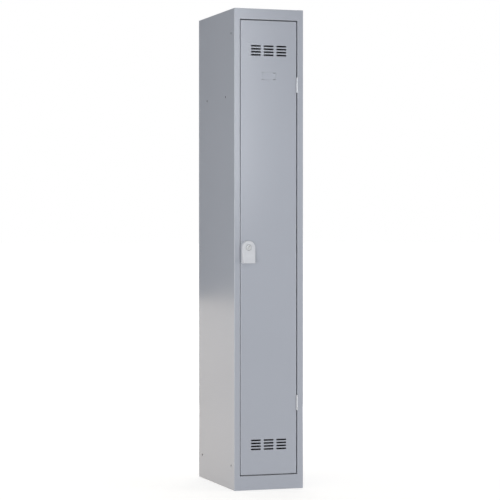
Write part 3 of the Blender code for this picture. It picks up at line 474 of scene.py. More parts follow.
ZINC = build_metal(
    "zinc_plate", ZINC_COLOUR, ZINC_CLOUD,
    scale=55.0, rough=(0.50, 0.36), ripple=500.0, bump=0.10,
    plain={"Metallic": 1.0},
)
DARK_STEEL = build_metal(
    "dark_steel", BLACKENED_COLOUR, BLACKENED_RUST,
    scale=300.0, rough=(0.80, 0.60), ripple=900.0, bump=0.30,
    plain={"Metallic": 0.0, "Specular IOR Level": BLACKENED_GLOSS},
)
print("finishes:", ZINC.name, DARK_STEEL.name)

# %% [markdown]
# ## Nickel and rubber
# The lock's face is satin nickel, turned on a lathe, so its fine lines run in rings round the
# lock's axis. A Mapping node moves the middle of those rings there. The lines could be modelled,
# but they are too fine for a mesh. The buffers are black rubber with a grey bloom. All six finishes
# then go into one table under the names of the record's slots.

# %% Nickel
NICKEL_COLOUR, NICKEL_RING = (0.42, 0.445, 0.48, 1), (0.36, 0.385, 0.415, 1)
TURNING = {"Scale": 900.0, "Distortion": 1.5, "Detail": 2.0}


def middle_of(node):
    """The middle of a CAD node's box."""
    return [(start + stop) / 2 for start, stop in zip(*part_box(node))]


def build_nickel(centre):
    """Satin nickel with turning lines in rings round the lock's axis."""
    material, tree, shader = new_material("satin_nickel")
    shift = {"Vector": object_place(tree), "Location": centre}
    place = add_node(tree, "Mapping", vector_type="TEXTURE", inputs=shift).outputs["Vector"]
    rings = {"wave_type": "RINGS", "rings_direction": "Y"}
    lines = add_node(tree, "TexWave", {"Vector": place, **TURNING}, **rings).outputs["Fac"]
    set_inputs(tree, shader, {
        "Metallic": 1.0,
        "Base Color": mix_colour(tree, drift_mask(tree, 120.0), NICKEL_RING, NICKEL_COLOUR),
        "Roughness": map_range(tree, lines, 0.28, 0.40),
        "Normal": relief(tree, lines, strength=0.05, distance=0.0001),
    })
    return material


LOCK_X, _, LOCK_Z = middle_of("lock_plug")
LOCK_AXIS = (LOCK_X, 0.0, LOCK_Z)
NICKEL = build_nickel(LOCK_AXIS)
print("finish:", NICKEL.name, "round", [round(place, 4) for place in LOCK_AXIS])

# %% Rubber, and the table of finishes
RUBBER_COLOUR, RUBBER_BLOOM = (0.028, 0.028, 0.03, 1), (0.05, 0.05, 0.05, 1)


def build_rubber():
    material, tree, shader = new_material("black_rubber")
    shade = drift_mask(tree, 160.0)
    colour = mix_colour(tree, shade, RUBBER_COLOUR, RUBBER_BLOOM)
    dust = use_group(tree, DUST, Amount=0.6, Patch=200.0)
    grain = use_group(tree, GRAIN, Ripple=1200.0, Grain=4000.0, Share=0.6)
    set_inputs(tree, shader, {
        "Base Color": mix_colour(tree, dust, colour, DUST_COLOUR),
        "Roughness": map_range(tree, shade, 0.7, 0.85),
        "Normal": relief(tree, grain, strength=0.3, distance=0.0002),
    })
    return material


FINISHES = {
    "grey_paint": PAINT,
    "grey_plastic": PLASTIC,
    "zinc_plate": ZINC,
    "nickel_plate": NICKEL,
    "dark_steel": DARK_STEEL,
    "rubber": build_rubber(),
}
print("finishes:", list(FINISHES))

# %% [markdown]
# ## Working by hand, in code
# By hand one selects an edge and drags it out. Here a test on an edge's or a face's place does the
# selecting, and the operators do the rest. A test gets the middle of each vertex, edge or face, and
# its direction: along an edge, or out of a face.

# %% Open, close and select
NEAR = 1e-5


def near(value, *places):
    return any(abs(value - place) < NEAR for place in places)


def select_only(obj):
    bpy.ops.object.select_all(action="DESELECT")
    obj.select_set(True)
    bpy.context.view_layer.objects.active = obj


def open_mesh(obj):
    select_only(obj)
    bpy.ops.object.mode_set(mode="EDIT")


def close_mesh():
    bpy.ops.object.mode_set(mode="OBJECT")


def pick_all():
    bpy.ops.mesh.select_all(action="SELECT")


print("places nearer than", NEAR, "m count as one")

# %% Pick by place, draw out and merge
DOUBLES = 1e-6
ALIGNED = 0.9


def pick(obj, kind, test):
    """Selects the vertices, edges or faces of the open mesh that pass a test."""
    bpy.ops.mesh.select_mode(type=kind)
    bpy.ops.mesh.select_all(action="DESELECT")
    mesh = bmesh.from_edit_mesh(obj.data)
    mesh.normal_update()
    if kind == "FACE":
        found = [face for face in mesh.faces if test(face.calc_center_median(), face.normal)]
    elif kind == "EDGE":
        ends = {edge: [vert.co for vert in edge.verts] for edge in mesh.edges}
        found = [edge for edge, (a, b) in ends.items() if test((a + b) / 2, (b - a).normalized())]
    else:
        found = [vert for vert in mesh.verts if test(vert.co, vert.normal)]
    for item in found:
        item.select_set(True)
    mesh.select_flush_mode()
    bmesh.update_edit_mesh(obj.data)


def draw_out(by):
    bpy.ops.mesh.extrude_region_move(TRANSFORM_OT_translate={"value": by})


def merge_doubles():
    pick_all()
    bpy.ops.mesh.remove_doubles(threshold=DOUBLES)


print("an edge runs along an axis from a cosine of", ALIGNED)

# %% [markdown]
# ## Folded sheet
# A sheet starts as one flat plane. Its edges are drawn out into the next panels, the folds are
# rounded with a bevel, and Solidify gives the steel its gauge, as a press brake folds a blank. A
# score line across a panel lets only part of an edge be folded. A cube with its faces taken away
# could stand in for a tray, but its folds would be as sharp as a box's.


# %% Flat sheets
def add_flat(name, low, high):
    """Adds a plane that fills the flat rectangle between two corners, and opens it."""
    low, high = Vector(low), Vector(high)
    size = high - low
    sheet = add_new(bpy.ops.mesh.primitive_plane_add, size=1, location=(low + high) / 2)
    sheet.name = sheet.data.name = name
    sheet.scale = (size.x, size.y, 1)
    if near(size.y, 0):
        sheet.rotation_euler = (QUARTER, 0, 0)
        sheet.scale = (size.x, size.z, 1)
    elif near(size.x, 0):
        sheet.rotation_euler = (0, QUARTER, 0)
        sheet.scale = (size.z, size.y, 1)
    bpy.ops.object.transform_apply(location=True, rotation=True, scale=True)
    open_mesh(sheet)
    return sheet


print("flat sheets ready")

# %% Folds
FOLD_RADIUS, FOLD_STEPS = 0.002, 6
SHARP_FOLD = math.radians(60)


def fold(sheet, by, test):
    """Draws the picked edges out into the sheet's next panel."""
    pick(sheet, "EDGE", test)
    draw_out(by)


def score(sheet, place, normal, test=lambda middle, way: True):
    """Cuts a line across the picked panels, so that only part of an edge is folded."""
    pick(sheet, "FACE", test)
    bpy.ops.mesh.bisect(plane_co=place, plane_no=normal)


def face_outwards(sheet, outwards):
    """Turns the sheet's panels the same way round, with its largest panel facing outwards."""
    pick_all()
    bpy.ops.mesh.normals_make_consistent(inside=False)
    mesh = bmesh.from_edit_mesh(sheet.data)
    largest = max(mesh.faces, key=lambda face: face.calc_area())
    if largest.normal.dot(Vector(outwards)) < 0:
        bpy.ops.mesh.flip_normals()


def round_folds():
    bpy.ops.mesh.select_mode(type="EDGE")
    bpy.ops.mesh.select_all(action="DESELECT")
    bpy.ops.mesh.edges_select_sharp(sharpness=SHARP_FOLD)
    rounding = {"offset": FOLD_RADIUS, "segments": FOLD_STEPS, "clamp_overlap": False}
    bpy.ops.mesh.bevel(affect="EDGES", **rounding)


print("folds are rounded by", FOLD_RADIUS, "m")

# %% Steel, cuts and rims
GAUGE = 0.0008
SHARP_RIM = math.radians(35)


def apply_modifier(obj, kind, **settings):
    modifier = obj.modifiers.new(kind.lower(), kind)
    for label, value in settings.items():
        setattr(modifier, label, value)
    select_only(obj)
    bpy.ops.object.modifier_apply(modifier=modifier.name)


def make_steel(sheet, outwards):
    """Rounds the folds of a drawn sheet and gives it its gauge, behind the faces that show."""
    face_outwards(sheet, outwards)
    round_folds()
    close_mesh()
    inwards = {"offset": -1, "use_even_offset": True, "use_quality_normals": True}
    apply_modifier(sheet, "SOLIDIFY", thickness=GAUGE, **inwards)


def cut_with(obj, cutter, operation="DIFFERENCE"):
    """Cuts a piece with a closed shape, which is then thrown away."""
    apply_modifier(obj, "BOOLEAN", operation=operation, solver="EXACT", object=cutter)
    bpy.data.objects.remove(cutter)


def soften(obj, width, segments=2):
    """Rounds the sharp rims and lets the large flat faces rule the shading."""
    sharp = {"limit_method": "ANGLE", "angle_limit": SHARP_RIM, "miter_outer": "MITER_ARC"}
    apply_modifier(obj, "BEVEL", width=width, segments=segments, use_clamp_overlap=False, **sharp)
    bpy.ops.object.shade_smooth()
    apply_modifier(obj, "WEIGHTED_NORMAL", mode="FACE_AREA", weight=100)


def mend_shell(obj):
    """Merges the doubles of a closed body and turns its faces outwards, as after mirroring."""
    open_mesh(obj)
    merge_doubles()
    bpy.ops.mesh.normals_make_consistent(inside=False)
    close_mesh()


print("steel is", GAUGE, "m thick")

# %% [markdown]
# ## Handing a piece over
# A finished piece gets its finish, is tied to the body that it moves with, and takes the place of
# its CAD node. Before that, its mesh is marked where it stands out sharply, because paint and
# plastic wear there first, and because the paint gets a painted highlight along its folds there.
# The mark could come from a bevel in the material, but a mark in the mesh stays with the piece.

# %% Hand over a piece
RIM = 0.00028
RUB_AND_HIGHLIGHT_START, RUB_AND_HIGHLIGHT_FULL = math.radians(6), math.radians(24)
RUB_AND_HIGHLIGHT_WIDTH = 0.0010


# This mark lightens worn rims, and on the paint it also gives a painted highlight along the folds.
def mark_rub_and_highlight(obj):
    """Marks how sharply each point stands out, for the finishes to read; flats keep nought."""
    mesh = bmesh.new()
    mesh.from_mesh(obj.data)
    broad = {}
    for face in mesh.faces:
        broad[face] = face.calc_area() / max(edge.calc_length() for edge in face.edges)
    values = []
    for vert in mesh.verts:
        sharpest = max([edge.calc_face_angle_signed(0.0) for edge in vert.link_edges], default=0.0)
        if any(broad[face] > RUB_AND_HIGHLIGHT_WIDTH for face in vert.link_faces):
            sharpest = 0.0
        values.append(min(1.0, max(0.0, (sharpest - RUB_AND_HIGHLIGHT_START) / (RUB_AND_HIGHLIGHT_FULL - RUB_AND_HIGHLIGHT_START))))
    mesh.free()
    obj.data.attributes.new("rub_and_highlight", "FLOAT", "POINT").data.foreach_set("value", values)


def hand_over(piece, slot, body, *nodes):
    """Paints a finished piece, ties it to its body and puts it in the place of its CAD nodes."""
    piece.data.materials.clear()
    piece.data.materials.append(FINISHES[slot])
    mark_rub_and_highlight(piece)
    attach(piece, body)
    if nodes:
        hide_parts(*nodes)
    print(piece.name, "has", len(piece.data.polygons), "faces, for", *nodes or ["no node"])


def paint_sheet(sheet, body, node):
    soften(sheet, RIM)
    hand_over(sheet, "grey_paint", body, node)


print("handing over ready")

# %% [markdown]
# ## Cutters and copies
# Holes are punched: a closed shape is made where the hole goes and subtracted. A slot starts as a
# cube whose four short edges are rounded until its ends are half circles. Rows of slots are one
# slot and two Array modifiers, so that a change to the slot changes them all. A hole could be drawn
# into the flat sheet as well, but that takes many edges, while a cutter is simply moved.

# %% Cutters
SLOT_ROUND = 0.495


def add_box(name, low, high):
    """Adds a cube that fills the box between two corners, and opens it."""
    low, high = Vector(low), Vector(high)
    block = add_new(bpy.ops.mesh.primitive_cube_add, size=1, location=(low + high) / 2)
    block.name = block.data.name = name
    block.scale = high - low
    bpy.ops.object.transform_apply(location=True, rotation=True, scale=True)
    open_mesh(block)
    return block


def box_cutter(low, high):
    cutter = add_box("box_cutter", low, high)
    close_mesh()
    return cutter


def slot_cutter(centre, length, height, depth, steps=8):
    """A slot along X, cut from front to back, with round ends."""
    reach = Vector((length / 2, depth / 2, height / 2))
    cutter = add_box("slot_cutter", Vector(centre) - reach, Vector(centre) + reach)
    pick(cutter, "EDGE", lambda place, way: abs(way.y) > ALIGNED)
    bpy.ops.mesh.bevel(offset=height * SLOT_ROUND, segments=steps, affect="EDGES")
    close_mesh()
    return cutter


def round_cutter(centre, radius, depth, axis, sides=48):
    """A round drill through a sheet, along X or Y."""
    along = {"X": (0, QUARTER, 0), "Y": (QUARTER, 0, 0)}
    drill = {"vertices": sides, "radius": radius, "depth": depth, "location": centre}
    cutter = add_new(bpy.ops.mesh.primitive_cylinder_add, rotation=along[axis], **drill)
    bpy.ops.object.transform_apply(location=True, rotation=True, scale=True)
    return cutter


print("cutters ready")


# %% Rows, copies and mirror images
def repeat(obj, count, step):
    apart = {"use_relative_offset": False, "use_constant_offset": True}
    apply_modifier(obj, "ARRAY", count=count, constant_offset_displace=step, **apart)


def copy_of(obj, name, by=(0, 0, 0)):
    """A copy with a mesh of its own, moved in its mesh."""
    select_only(obj)
    bpy.ops.object.duplicate(linked=False)
    copy = bpy.context.object
    copy.name = copy.data.name = name
    open_mesh(copy)
    pick_all()
    bpy.ops.transform.translate(value=by)
    close_mesh()
    return copy


def mirror_copy(obj, name):
    """A mirror image in the locker's middle plane."""
    twin = copy_of(obj, name)
    open_mesh(twin)
    pick_all()
    bpy.ops.transform.resize(value=(-1, 1, 1), center_override=(0, 0, 0))
    close_mesh()
    return twin


def join(*objects):
    bpy.ops.object.select_all(action="DESELECT")
    for obj in objects:
        obj.select_set(True)
    bpy.context.view_layer.objects.active = objects[0]
    bpy.ops.object.join()
    return objects[0]


print("copies ready")

# %% [markdown]
# ## Turned and drawn shapes
# Round parts are turned: half a profile is drawn point by point as a chain of edges and spun round
# its axis, as a lathe does. Flat parts are drawn the same way as a closed outline, filled, and
# drawn out to their thickness. Both start from a plane that is merged into a single point. Stacked
# cylinders could stand for a turned part, but they would leave faces inside it.

# %% Lathe
ALONG = {"X": Vector((1, 0, 0)), "Y": Vector((0, 1, 0)), "Z": Vector((0, 0, 1))}
ACROSS = {axis: [way for name, way in ALONG.items() if name != axis] for axis in ALONG}
LATHE_STEPS = 64


def draw_chain(name, places):
    """Draws a chain of edges from place to place in a new mesh, and leaves it open."""
    obj = add_new(bpy.ops.mesh.primitive_plane_add, size=GAUGE)
    obj.name = obj.data.name = name
    open_mesh(obj)
    bpy.ops.mesh.select_mode(type="VERT")
    pick_all()
    bpy.ops.mesh.merge(type="CENTER")
    bpy.ops.transform.translate(value=places[0])
    for here, there in zip(places, places[1:]):
        draw_out(there - here)
    merge_doubles()
    return obj


def turn(name, profile, centre, axis, steps=LATHE_STEPS):
    """Spins a profile of (radius, place along the axis) round the axis through the centre."""
    centre, along, across = Vector(centre), ALONG[axis], ACROSS[axis][0]
    middle = centre - along * centre.dot(along)
    places = [middle + across * radius + along * place for radius, place in profile]
    obj = draw_chain(name, places)
    pick_all()
    bpy.ops.mesh.spin(steps=steps, angle=2 * math.pi, center=middle, axis=along)
    merge_doubles()
    bpy.ops.mesh.normals_make_consistent(inside=False)
    close_mesh()
    return obj


print("lathe turns in", LATHE_STEPS, "steps")


# %% Plates and arcs
def draw_plate(name, outline, axis, start, stop):
    """Fills a closed outline and draws it out along an axis."""
    first, second = ACROSS[axis]
    places = [first * a + second * b + ALONG[axis] * start for a, b in outline]
    obj = draw_chain(name, places + places[:1])
    pick_all()
    bpy.ops.mesh.edge_face_add()
    draw_out(ALONG[axis] * (stop - start))
    pick_all()
    bpy.ops.mesh.normals_make_consistent(inside=False)
    close_mesh()
    return obj


def arc(centre, radius, start, stop, steps):
    """Points on an arc, with the angles in degrees."""
    turns = [math.radians(start + (stop - start) * step / steps) for step in range(steps + 1)]
    x, y = centre
    return [(x + radius * math.cos(angle), y + radius * math.sin(angle)) for angle in turns]


print("plates and arcs ready")

# %% [markdown]
# ## Door
# The door is a shallow pan: a face, four returns, and a lip along the back of each long side. The
# face is scored round the name-card place, which is then inset and pressed back by a millimetre.
# After the steel has its gauge, the slots for air, the card's four corner slots and the holes for
# the lock are punched. One could also start from the CAD mesh, but a pan that is folded here keeps
# clean faces, finer folds and a real pressed recess.

# %% Fold the door
PAN_RETURN = 0.016
PAN_LIP_STEP, PAN_LIP = 0.004, 0.015
LIP_ENDS = 0.030
CARD_WIDTH, CARD_HEIGHT, CARD_TOP = 0.065, 0.0325, 1.720
CARD_SLOPE, CARD_DEPTH = 0.0007, 0.001


def press_card(pan, middle_x):
    """Scores the name-card place into the door's face and presses it back."""
    for x in (middle_x - CARD_WIDTH / 2, middle_x + CARD_WIDTH / 2):
        score(pan, (x, 0, 0), (1, 0, 0))
    for z in (CARD_TOP - CARD_HEIGHT, CARD_TOP):
        score(pan, (0, 0, z), (0, 0, 1))
    card_z = CARD_TOP - CARD_HEIGHT / 2
    pick(pan, "FACE", lambda place, way: near(place.x, middle_x) and near(place.z, card_z))
    bpy.ops.mesh.inset(thickness=CARD_SLOPE, depth=0)
    bpy.ops.transform.translate(value=(0, CARD_DEPTH, 0))


def fold_door(low, high):
    front, back = low.y, low.y + PAN_RETURN
    lip_low, lip_high = low.z + LIP_ENDS, high.z - LIP_ENDS
    pan = add_flat("door_pan", (low.x, front, low.z), (high.x, front, high.z))
    press_card(pan, (low.x + high.x) / 2)

    def on_rim(place, way):
        return near(place.x, low.x, high.x) or near(place.z, low.z, high.z)

    def on_lip(place, way):
        return near(place.y, back) and abs(way.z) > ALIGNED and lip_low < place.z < lip_high

    fold(pan, (0, PAN_RETURN, 0), on_rim)
    for z in (lip_low, lip_high):
        score(pan, (0, 0, z), (0, 0, 1), lambda place, way: abs(way.x) > ALIGNED)
    fold(pan, (0, PAN_LIP_STEP, 0), on_lip)
    back += PAN_LIP_STEP
    for x, inwards in ((low.x, PAN_LIP), (high.x, -PAN_LIP)):
        fold(pan, (inwards, 0, 0), lambda place, way: on_lip(place, way) and near(place.x, x))
    make_steel(pan, (0, -1, 0))
    return pan


door_low, door_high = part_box("door_skin")
door_pan = fold_door(door_low, door_high)
print("door folded:", len(door_pan.data.polygons), "faces")

# %% Punch the door
CARD_SLOT, CARD_SLOT_INSET = (0.010, 0.0016), 0.0028
VENT = (0.0432, 0.0065)
VENT_STEP_X, VENT_STEP_Z = 0.0553, 0.0123
VENT_COLUMNS, VENT_ROWS = 3, 4
VENT_INSET = 0.1045
PUNCH = 0.008
LOCK_HOLE = 0.0083
SCREW_HOLE = 0.0021
SMALL_HOLE_SIDES = 24
SCREW_NODES = ("handle_screw_left", "handle_screw_right")


def vent_cutters(middle_x, front):
    """The two groups of air slots, as one slot that is repeated and copied."""
    first_x = middle_x - (VENT_COLUMNS - 1) / 2 * VENT_STEP_X
    first_z = door_low.z + VENT_INSET
    vents = slot_cutter((first_x, front, first_z), *VENT, PUNCH)
    repeat(vents, VENT_COLUMNS, (VENT_STEP_X, 0, 0))
    repeat(vents, VENT_ROWS, (0, 0, VENT_STEP_Z))
    rise = door_high.z - VENT_INSET - (VENT_ROWS - 1) * VENT_STEP_Z - first_z
    return [vents, copy_of(vents, "upper_vents", (0, 0, rise))]


def punch_door():
    front, middle_x = door_low.y, (door_low.x + door_high.x) / 2
    cuts = vent_cutters(middle_x, front)
    out = CARD_WIDTH / 2 - CARD_SLOT_INSET - CARD_SLOT[0] / 2
    for x in (middle_x - out, middle_x + out):
        for z in (CARD_TOP - CARD_SLOT_INSET, CARD_TOP - CARD_HEIGHT + CARD_SLOT_INSET):
            cuts.append(slot_cutter((x, front, z), *CARD_SLOT, PUNCH, steps=3))
    cuts.append(round_cutter((LOCK_X, front, LOCK_Z), LOCK_HOLE, PUNCH, "Y"))
    for node in SCREW_NODES:
        x, _, z = middle_of(node)
        cuts.append(round_cutter((x, front, z), SCREW_HOLE, PUNCH, "Y", SMALL_HOLE_SIDES))
    cut_with(door_pan, join(*cuts))


punch_door()
paint_sheet(door_pan, "door", "door_skin")

# %% [markdown]
# ## Sides
# Each side is one blank. Its front edge is folded round three times: to the stile that shows beside
# the door, to the jamb that the door passes, and to the stop that it closes on. Small notches at
# the ends let the folds close. The left side is drawn, and the right one is its mirror image, made
# before the steel has a thickness, so that only the flat panels have to be turned round again. The
# back is spot-welded to the rear flanges, which leaves a row of shallow dents on them.

# %% Notches
RELIEF, NOTCH = 0.004, 0.002
FLAT = math.radians(1)


def merge_panels():
    """Takes the score lines out of panels that stayed flat."""
    pick_all()
    bpy.ops.mesh.dissolve_limited(angle_limit=FLAT)


def cut_notches(side, low, high):
    """Cuts small notches out of the four corners of a blank; gives where its end flanges lie."""
    cuts = (low.y + RELIEF, low.y + RELIEF + NOTCH, high.y - RELIEF - NOTCH, high.y - RELIEF)
    for y in cuts:
        score(side, (0, y, 0), (0, 1, 0))
    for z in (low.z + RELIEF, high.z - RELIEF):
        score(side, (0, 0, z), (0, 0, 1))

    def in_notch(place, way):
        across = cuts[0] < place.y < cuts[1] or cuts[2] < place.y < cuts[3]
        return across and not low.z + RELIEF < place.z < high.z - RELIEF

    pick(side, "FACE", in_notch)
    bpy.ops.mesh.delete(type="FACE")
    return cuts[1:3]


print("notches are", NOTCH, "m wide")

# %% Fold the sides
SEAM = 0.0003
STILE, JAMB, STOP = 0.025, 0.020, 0.010
REAR_FLANGE = 0.020
END_FLANGE = 0.0239


def fold_side(name, low, high):
    web, front, back = low.x, low.y, high.y
    side = add_flat(name, (web, front, low.z), (web, back, high.z))
    start, stop = cut_notches(side, low, high)
    inner, jamb_end = web + STILE, front + JAMB
    stop_low, stop_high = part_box("plinth_rail")[1].z + SEAM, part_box("header_rail")[0].z - SEAM

    def on_jamb_end(place, way):
        return near(place.y, jamb_end) and stop_low < place.z < stop_high

    def on_end(place, way):
        return near(place.z, low.z, high.z) and near(place.x, web) and start < place.y < stop

    fold(side, (STILE, 0, 0), lambda place, way: near(place.y, front))
    fold(side, (0, JAMB, 0), lambda place, way: near(place.x, inner))
    for z in (stop_low, stop_high):
        score(side, (0, 0, z), (0, 0, 1), lambda place, way: near(place.x, inner))
    fold(side, (0, RELIEF, 0), on_jamb_end)
    fold(side, (STOP, 0, 0), lambda place, way: near(place.y, jamb_end + RELIEF))
    fold(side, (REAR_FLANGE, 0, 0), lambda place, way: near(place.y, back))
    fold(side, (END_FLANGE, 0, 0), on_end)
    merge_panels()
    close_mesh()
    return side


side_low, side_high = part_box("left_side_panel")
side_left = fold_side("side_left", side_low, side_high)
side_right = mirror_copy(side_left, "side_right")
print("sides folded:", len(side_left.data.polygons), "panels each")

# %% Punch the sides
JOIN_HOLE = 0.0048
JOIN_PLACES = ((0.044, 1.880), (0.044, 0.100), (0.451, 0.100))
RIVET_SEAT = 0.0050
RIVET_NODES = ("shelf_rivet_left_front", "shelf_rivet_left_rear")
WELD_DENT, WELD_DENT_DEPTH = 0.0028, 0.00025
WELD_BOWL = ((0, -1), (0.5, -0.75), (1.2, 0.44))
WELD_DENT_STEPS = 24
WELD_START, WELD_STEP, WELD_COUNT = 0.080, 0.140, 14


def weld_dents(x, back):
    """The row of shallow round dents that spot welding leaves on a flange."""
    profile = [(WELD_DENT * out, back + WELD_DENT_DEPTH * rise) for out, rise in WELD_BOWL]
    profile += [(profile[-1][0], back + PUNCH), (0, back + PUNCH)]
    dents = turn("weld_dents", profile, (x, 0, WELD_START), "Y", WELD_DENT_STEPS)
    repeat(dents, WELD_COUNT, (0, 0, WELD_STEP))
    return dents


def punch_side(side, x, flange_x):
    cuts = []
    for y, z in JOIN_PLACES:
        cuts.append(round_cutter((x, side_low.y + y, z), JOIN_HOLE, PUNCH, "X"))
    cuts.append(weld_dents(flange_x, side_high.y))
    for node in RIVET_NODES:
        cuts.append(round_cutter((x, *middle_of(node)[1:]), RIVET_SEAT, PUNCH, "X"))
    cut_with(side, join(*cuts))


for side_sheet, facing, side_node in (
    (side_left, -1, "left_side_panel"),
    (side_right, 1, "right_side_panel"),
):
    open_mesh(side_sheet)
    make_steel(side_sheet, (facing, 0, 0))
    side_x = -facing * side_low.x
    punch_side(side_sheet, side_x, side_x - facing * REAR_FLANGE / 2)
    paint_sheet(side_sheet, "carcass", side_node)

# %% [markdown]
# ## Header and plinth
# The two rails close the frame above and below the door. Both have a face, a long flange at the
# outer edge, a ledge at the inner one, and a lip that the door stops against, so one function folds
# both, one of them upside down.

# %% Header and plinth
RAIL_LEDGE, RAIL_LIP = 0.024, 0.010
HEADER_FLANGE, PLINTH_FLANGE = 0.0353, 0.020


def fold_rail(name, node, up, flange):
    low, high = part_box(node)
    outer, ledge = (high.z, low.z + RAIL_LIP) if up > 0 else (low.z, high.z - RAIL_LIP)
    bottom, top = sorted((outer, ledge))
    rail = add_flat(name, (low.x, low.y, bottom), (high.x, low.y, top))
    fold(rail, (0, flange, 0), lambda place, way: near(place.z, outer))
    fold(rail, (0, RAIL_LEDGE, 0), lambda place, way: near(place.z, ledge))
    lip_y = low.y + RAIL_LEDGE

    def on_lip(place, way):
        return near(place.z, ledge) and near(place.y, lip_y)

    fold(rail, (0, 0, -up * RAIL_LIP), on_lip)
    make_steel(rail, (0, -1, 0))
    paint_sheet(rail, "carcass", node)


fold_rail("header", "header_rail", 1, HEADER_FLANGE)
fold_rail("plinth", "plinth_rail", -1, PLINTH_FLANGE)

# %% [markdown]
# ## Corner welds
# The rails are welded between the stiles, and the welds are filled and ground flush before
# painting, so the front shows no joint. Each weld is a narrow wedge that fills the round of the
# stile's fold next to the rail's end. Joining the sheets into one mesh would hide the joint too,
# but then the rail could no longer be taken off.

# %% Corner welds
WELD_BACK = 0.0026
WELD_SINK = 0.00002


def fill_welds(name, node, up):
    low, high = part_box(node)
    bottom, top = low.z, high.z
    if up > 0:
        bottom += RAIL_LIP + FOLD_RADIUS
    else:
        top -= RAIL_LIP + FOLD_RADIUS
    front, start, end = low.y + WELD_SINK, high.x - SEAM, high.x + SEAM
    back = front + WELD_BACK
    outline = [(end + FOLD_RADIUS, front), (end, back), (start, back), (start, front)]
    right = draw_plate(name, outline, "Z", bottom, top)
    left = mirror_copy(right, name + "_left")
    mend_shell(left)
    hand_over(join(right, left), "grey_paint", "carcass")


fill_welds("header_welds", "header_rail", 1)
fill_welds("plinth_welds", "plinth_rail", -1)

# %% [markdown]
# ## Roof, floor, shelf and back
# Roof, floor and shelf are trays with their edges folded down and the corners cut out. The roof has
# no flange in front, where the header's flange lies on it, and the shelf's front flange ends in a
# lip, so that no raw edge faces the hands. The back is a flat sheet with rounded corners that lies
# against the rear flanges from inside. Plain slabs would be quicker, but they would look solid from
# below, where the real ones are hollow.

# %% Fold the trays
TRAY_FLANGE = 0.020
SHELF_FLANGE, SHELF_LIP = 0.025, 0.010


def fold_tray(name, node, flange, front_flange=True, lip=0.0):
    low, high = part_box(node)
    top = high.z
    tray = add_flat(name, (low.x, low.y, top), (high.x, high.y, top))
    cuts_x = (low.x + RELIEF, high.x - RELIEF)
    cuts_y = (low.y + RELIEF if front_flange else low.y - RELIEF, high.y - RELIEF)
    for x in cuts_x:
        score(tray, (x, 0, 0), (1, 0, 0))
    for y in cuts_y:
        score(tray, (0, y, 0), (0, 1, 0))

    def in_corner(place, way):
        return not (cuts_x[0] < place.x < cuts_x[1] or cuts_y[0] < place.y < cuts_y[1])

    def on_rim(place, way):
        ends = [high.y, low.y] if front_flange else [high.y]
        return near(place.x, low.x, high.x) or near(place.y, *ends)

    def on_lip(place, way):
        return near(place.y, low.y) and near(place.z, top - flange)

    pick(tray, "FACE", in_corner)
    bpy.ops.mesh.delete(type="FACE")
    fold(tray, (0, 0, -flange), on_rim)
    if lip:
        fold(tray, (0, lip, 0), on_lip)
    merge_panels()
    make_steel(tray, (0, 0, 1))
    return tray


roof_tray = fold_tray("roof_tray", "roof_panel", TRAY_FLANGE, front_flange=False)
floor_tray = fold_tray("floor_tray", "floor_panel", TRAY_FLANGE)
shelf_tray = fold_tray("shelf_tray", "hat_shelf", SHELF_FLANGE, lip=SHELF_LIP)
print("trays folded:", roof_tray.name, floor_tray.name, shelf_tray.name)

# %% Punch the shelf and paint the trays
RIVET_HOLE = 0.0019


def punch_shelf(shelf):
    holes = []
    for node in RIVET_NODES:
        for x in (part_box(node)[0].x, -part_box(node)[0].x):
            place = (x, *middle_of(node)[1:])
            holes.append(round_cutter(place, RIVET_HOLE, PUNCH, "X", SMALL_HOLE_SIDES))
    cut_with(shelf, join(*holes))


punch_shelf(shelf_tray)
paint_sheet(roof_tray, "carcass", "roof_panel")
paint_sheet(floor_tray, "carcass", "floor_panel")
paint_sheet(shelf_tray, "carcass", "hat_shelf")

# %% Back
BACK_CORNER, BACK_CORNER_STEPS = 0.003, 3


def cut_back():
    low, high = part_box("back_panel")
    back = add_flat("back_sheet", (low.x, high.y, low.z), (high.x, high.y, high.z))
    pick_all()
    bpy.ops.mesh.bevel(offset=BACK_CORNER, segments=BACK_CORNER_STEPS, affect="VERTICES")
    make_steel(back, (0, 1, 0))
    paint_sheet(back, "carcass", "back_panel")


cut_back()

# %% [markdown]
# ## Door stiffener and rail brackets
# A hat section welded to the back of the door keeps it from drumming. Each bracket is an angle
# under the shelf, with a rounded drop plate that carries one end of the rail. Both are folded as
# the other sheets are, and the second bracket is the mirror image of the first. Solid bars would be
# simpler, but the hat's open ends show when the door stands open.

# %% Door stiffener
HAT_FOOT = 0.012


def fold_stiffener():
    low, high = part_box("door_stiffener")
    walls = (low.x + HAT_FOOT, high.x - HAT_FOOT)
    hat = add_flat("door_hat", (walls[0], high.y, low.z), (walls[1], high.y, high.z))
    foot_y = low.y + GAUGE
    fold(hat, (0, foot_y - high.y, 0), lambda place, way: abs(way.z) > ALIGNED)
    for x, out in zip(walls, (-HAT_FOOT, HAT_FOOT)):
        fold(hat, (out, 0, 0), lambda place, way: near(place.y, foot_y) and near(place.x, x))
    make_steel(hat, (0, 1, 0))
    paint_sheet(hat, "door", "door_stiffener")


fold_stiffener()

# %% Rail brackets
BRACKET_CORNER, BRACKET_CORNER_STEPS = 0.008, 6
RAIL_HOLE = 0.0083


def fold_bracket(name, low, high):
    angle = add_flat(name, (low.x, low.y, low.z), (low.x, high.y, high.z))
    fold(angle, (high.x - low.x, 0, 0), lambda place, way: near(place.z, high.z))
    pick(angle, "VERT", lambda place, way: near(place.z, low.z) or near(place.x, high.x))
    bpy.ops.mesh.bevel(offset=BRACKET_CORNER, segments=BRACKET_CORNER_STEPS, affect="VERTICES")
    close_mesh()
    return angle


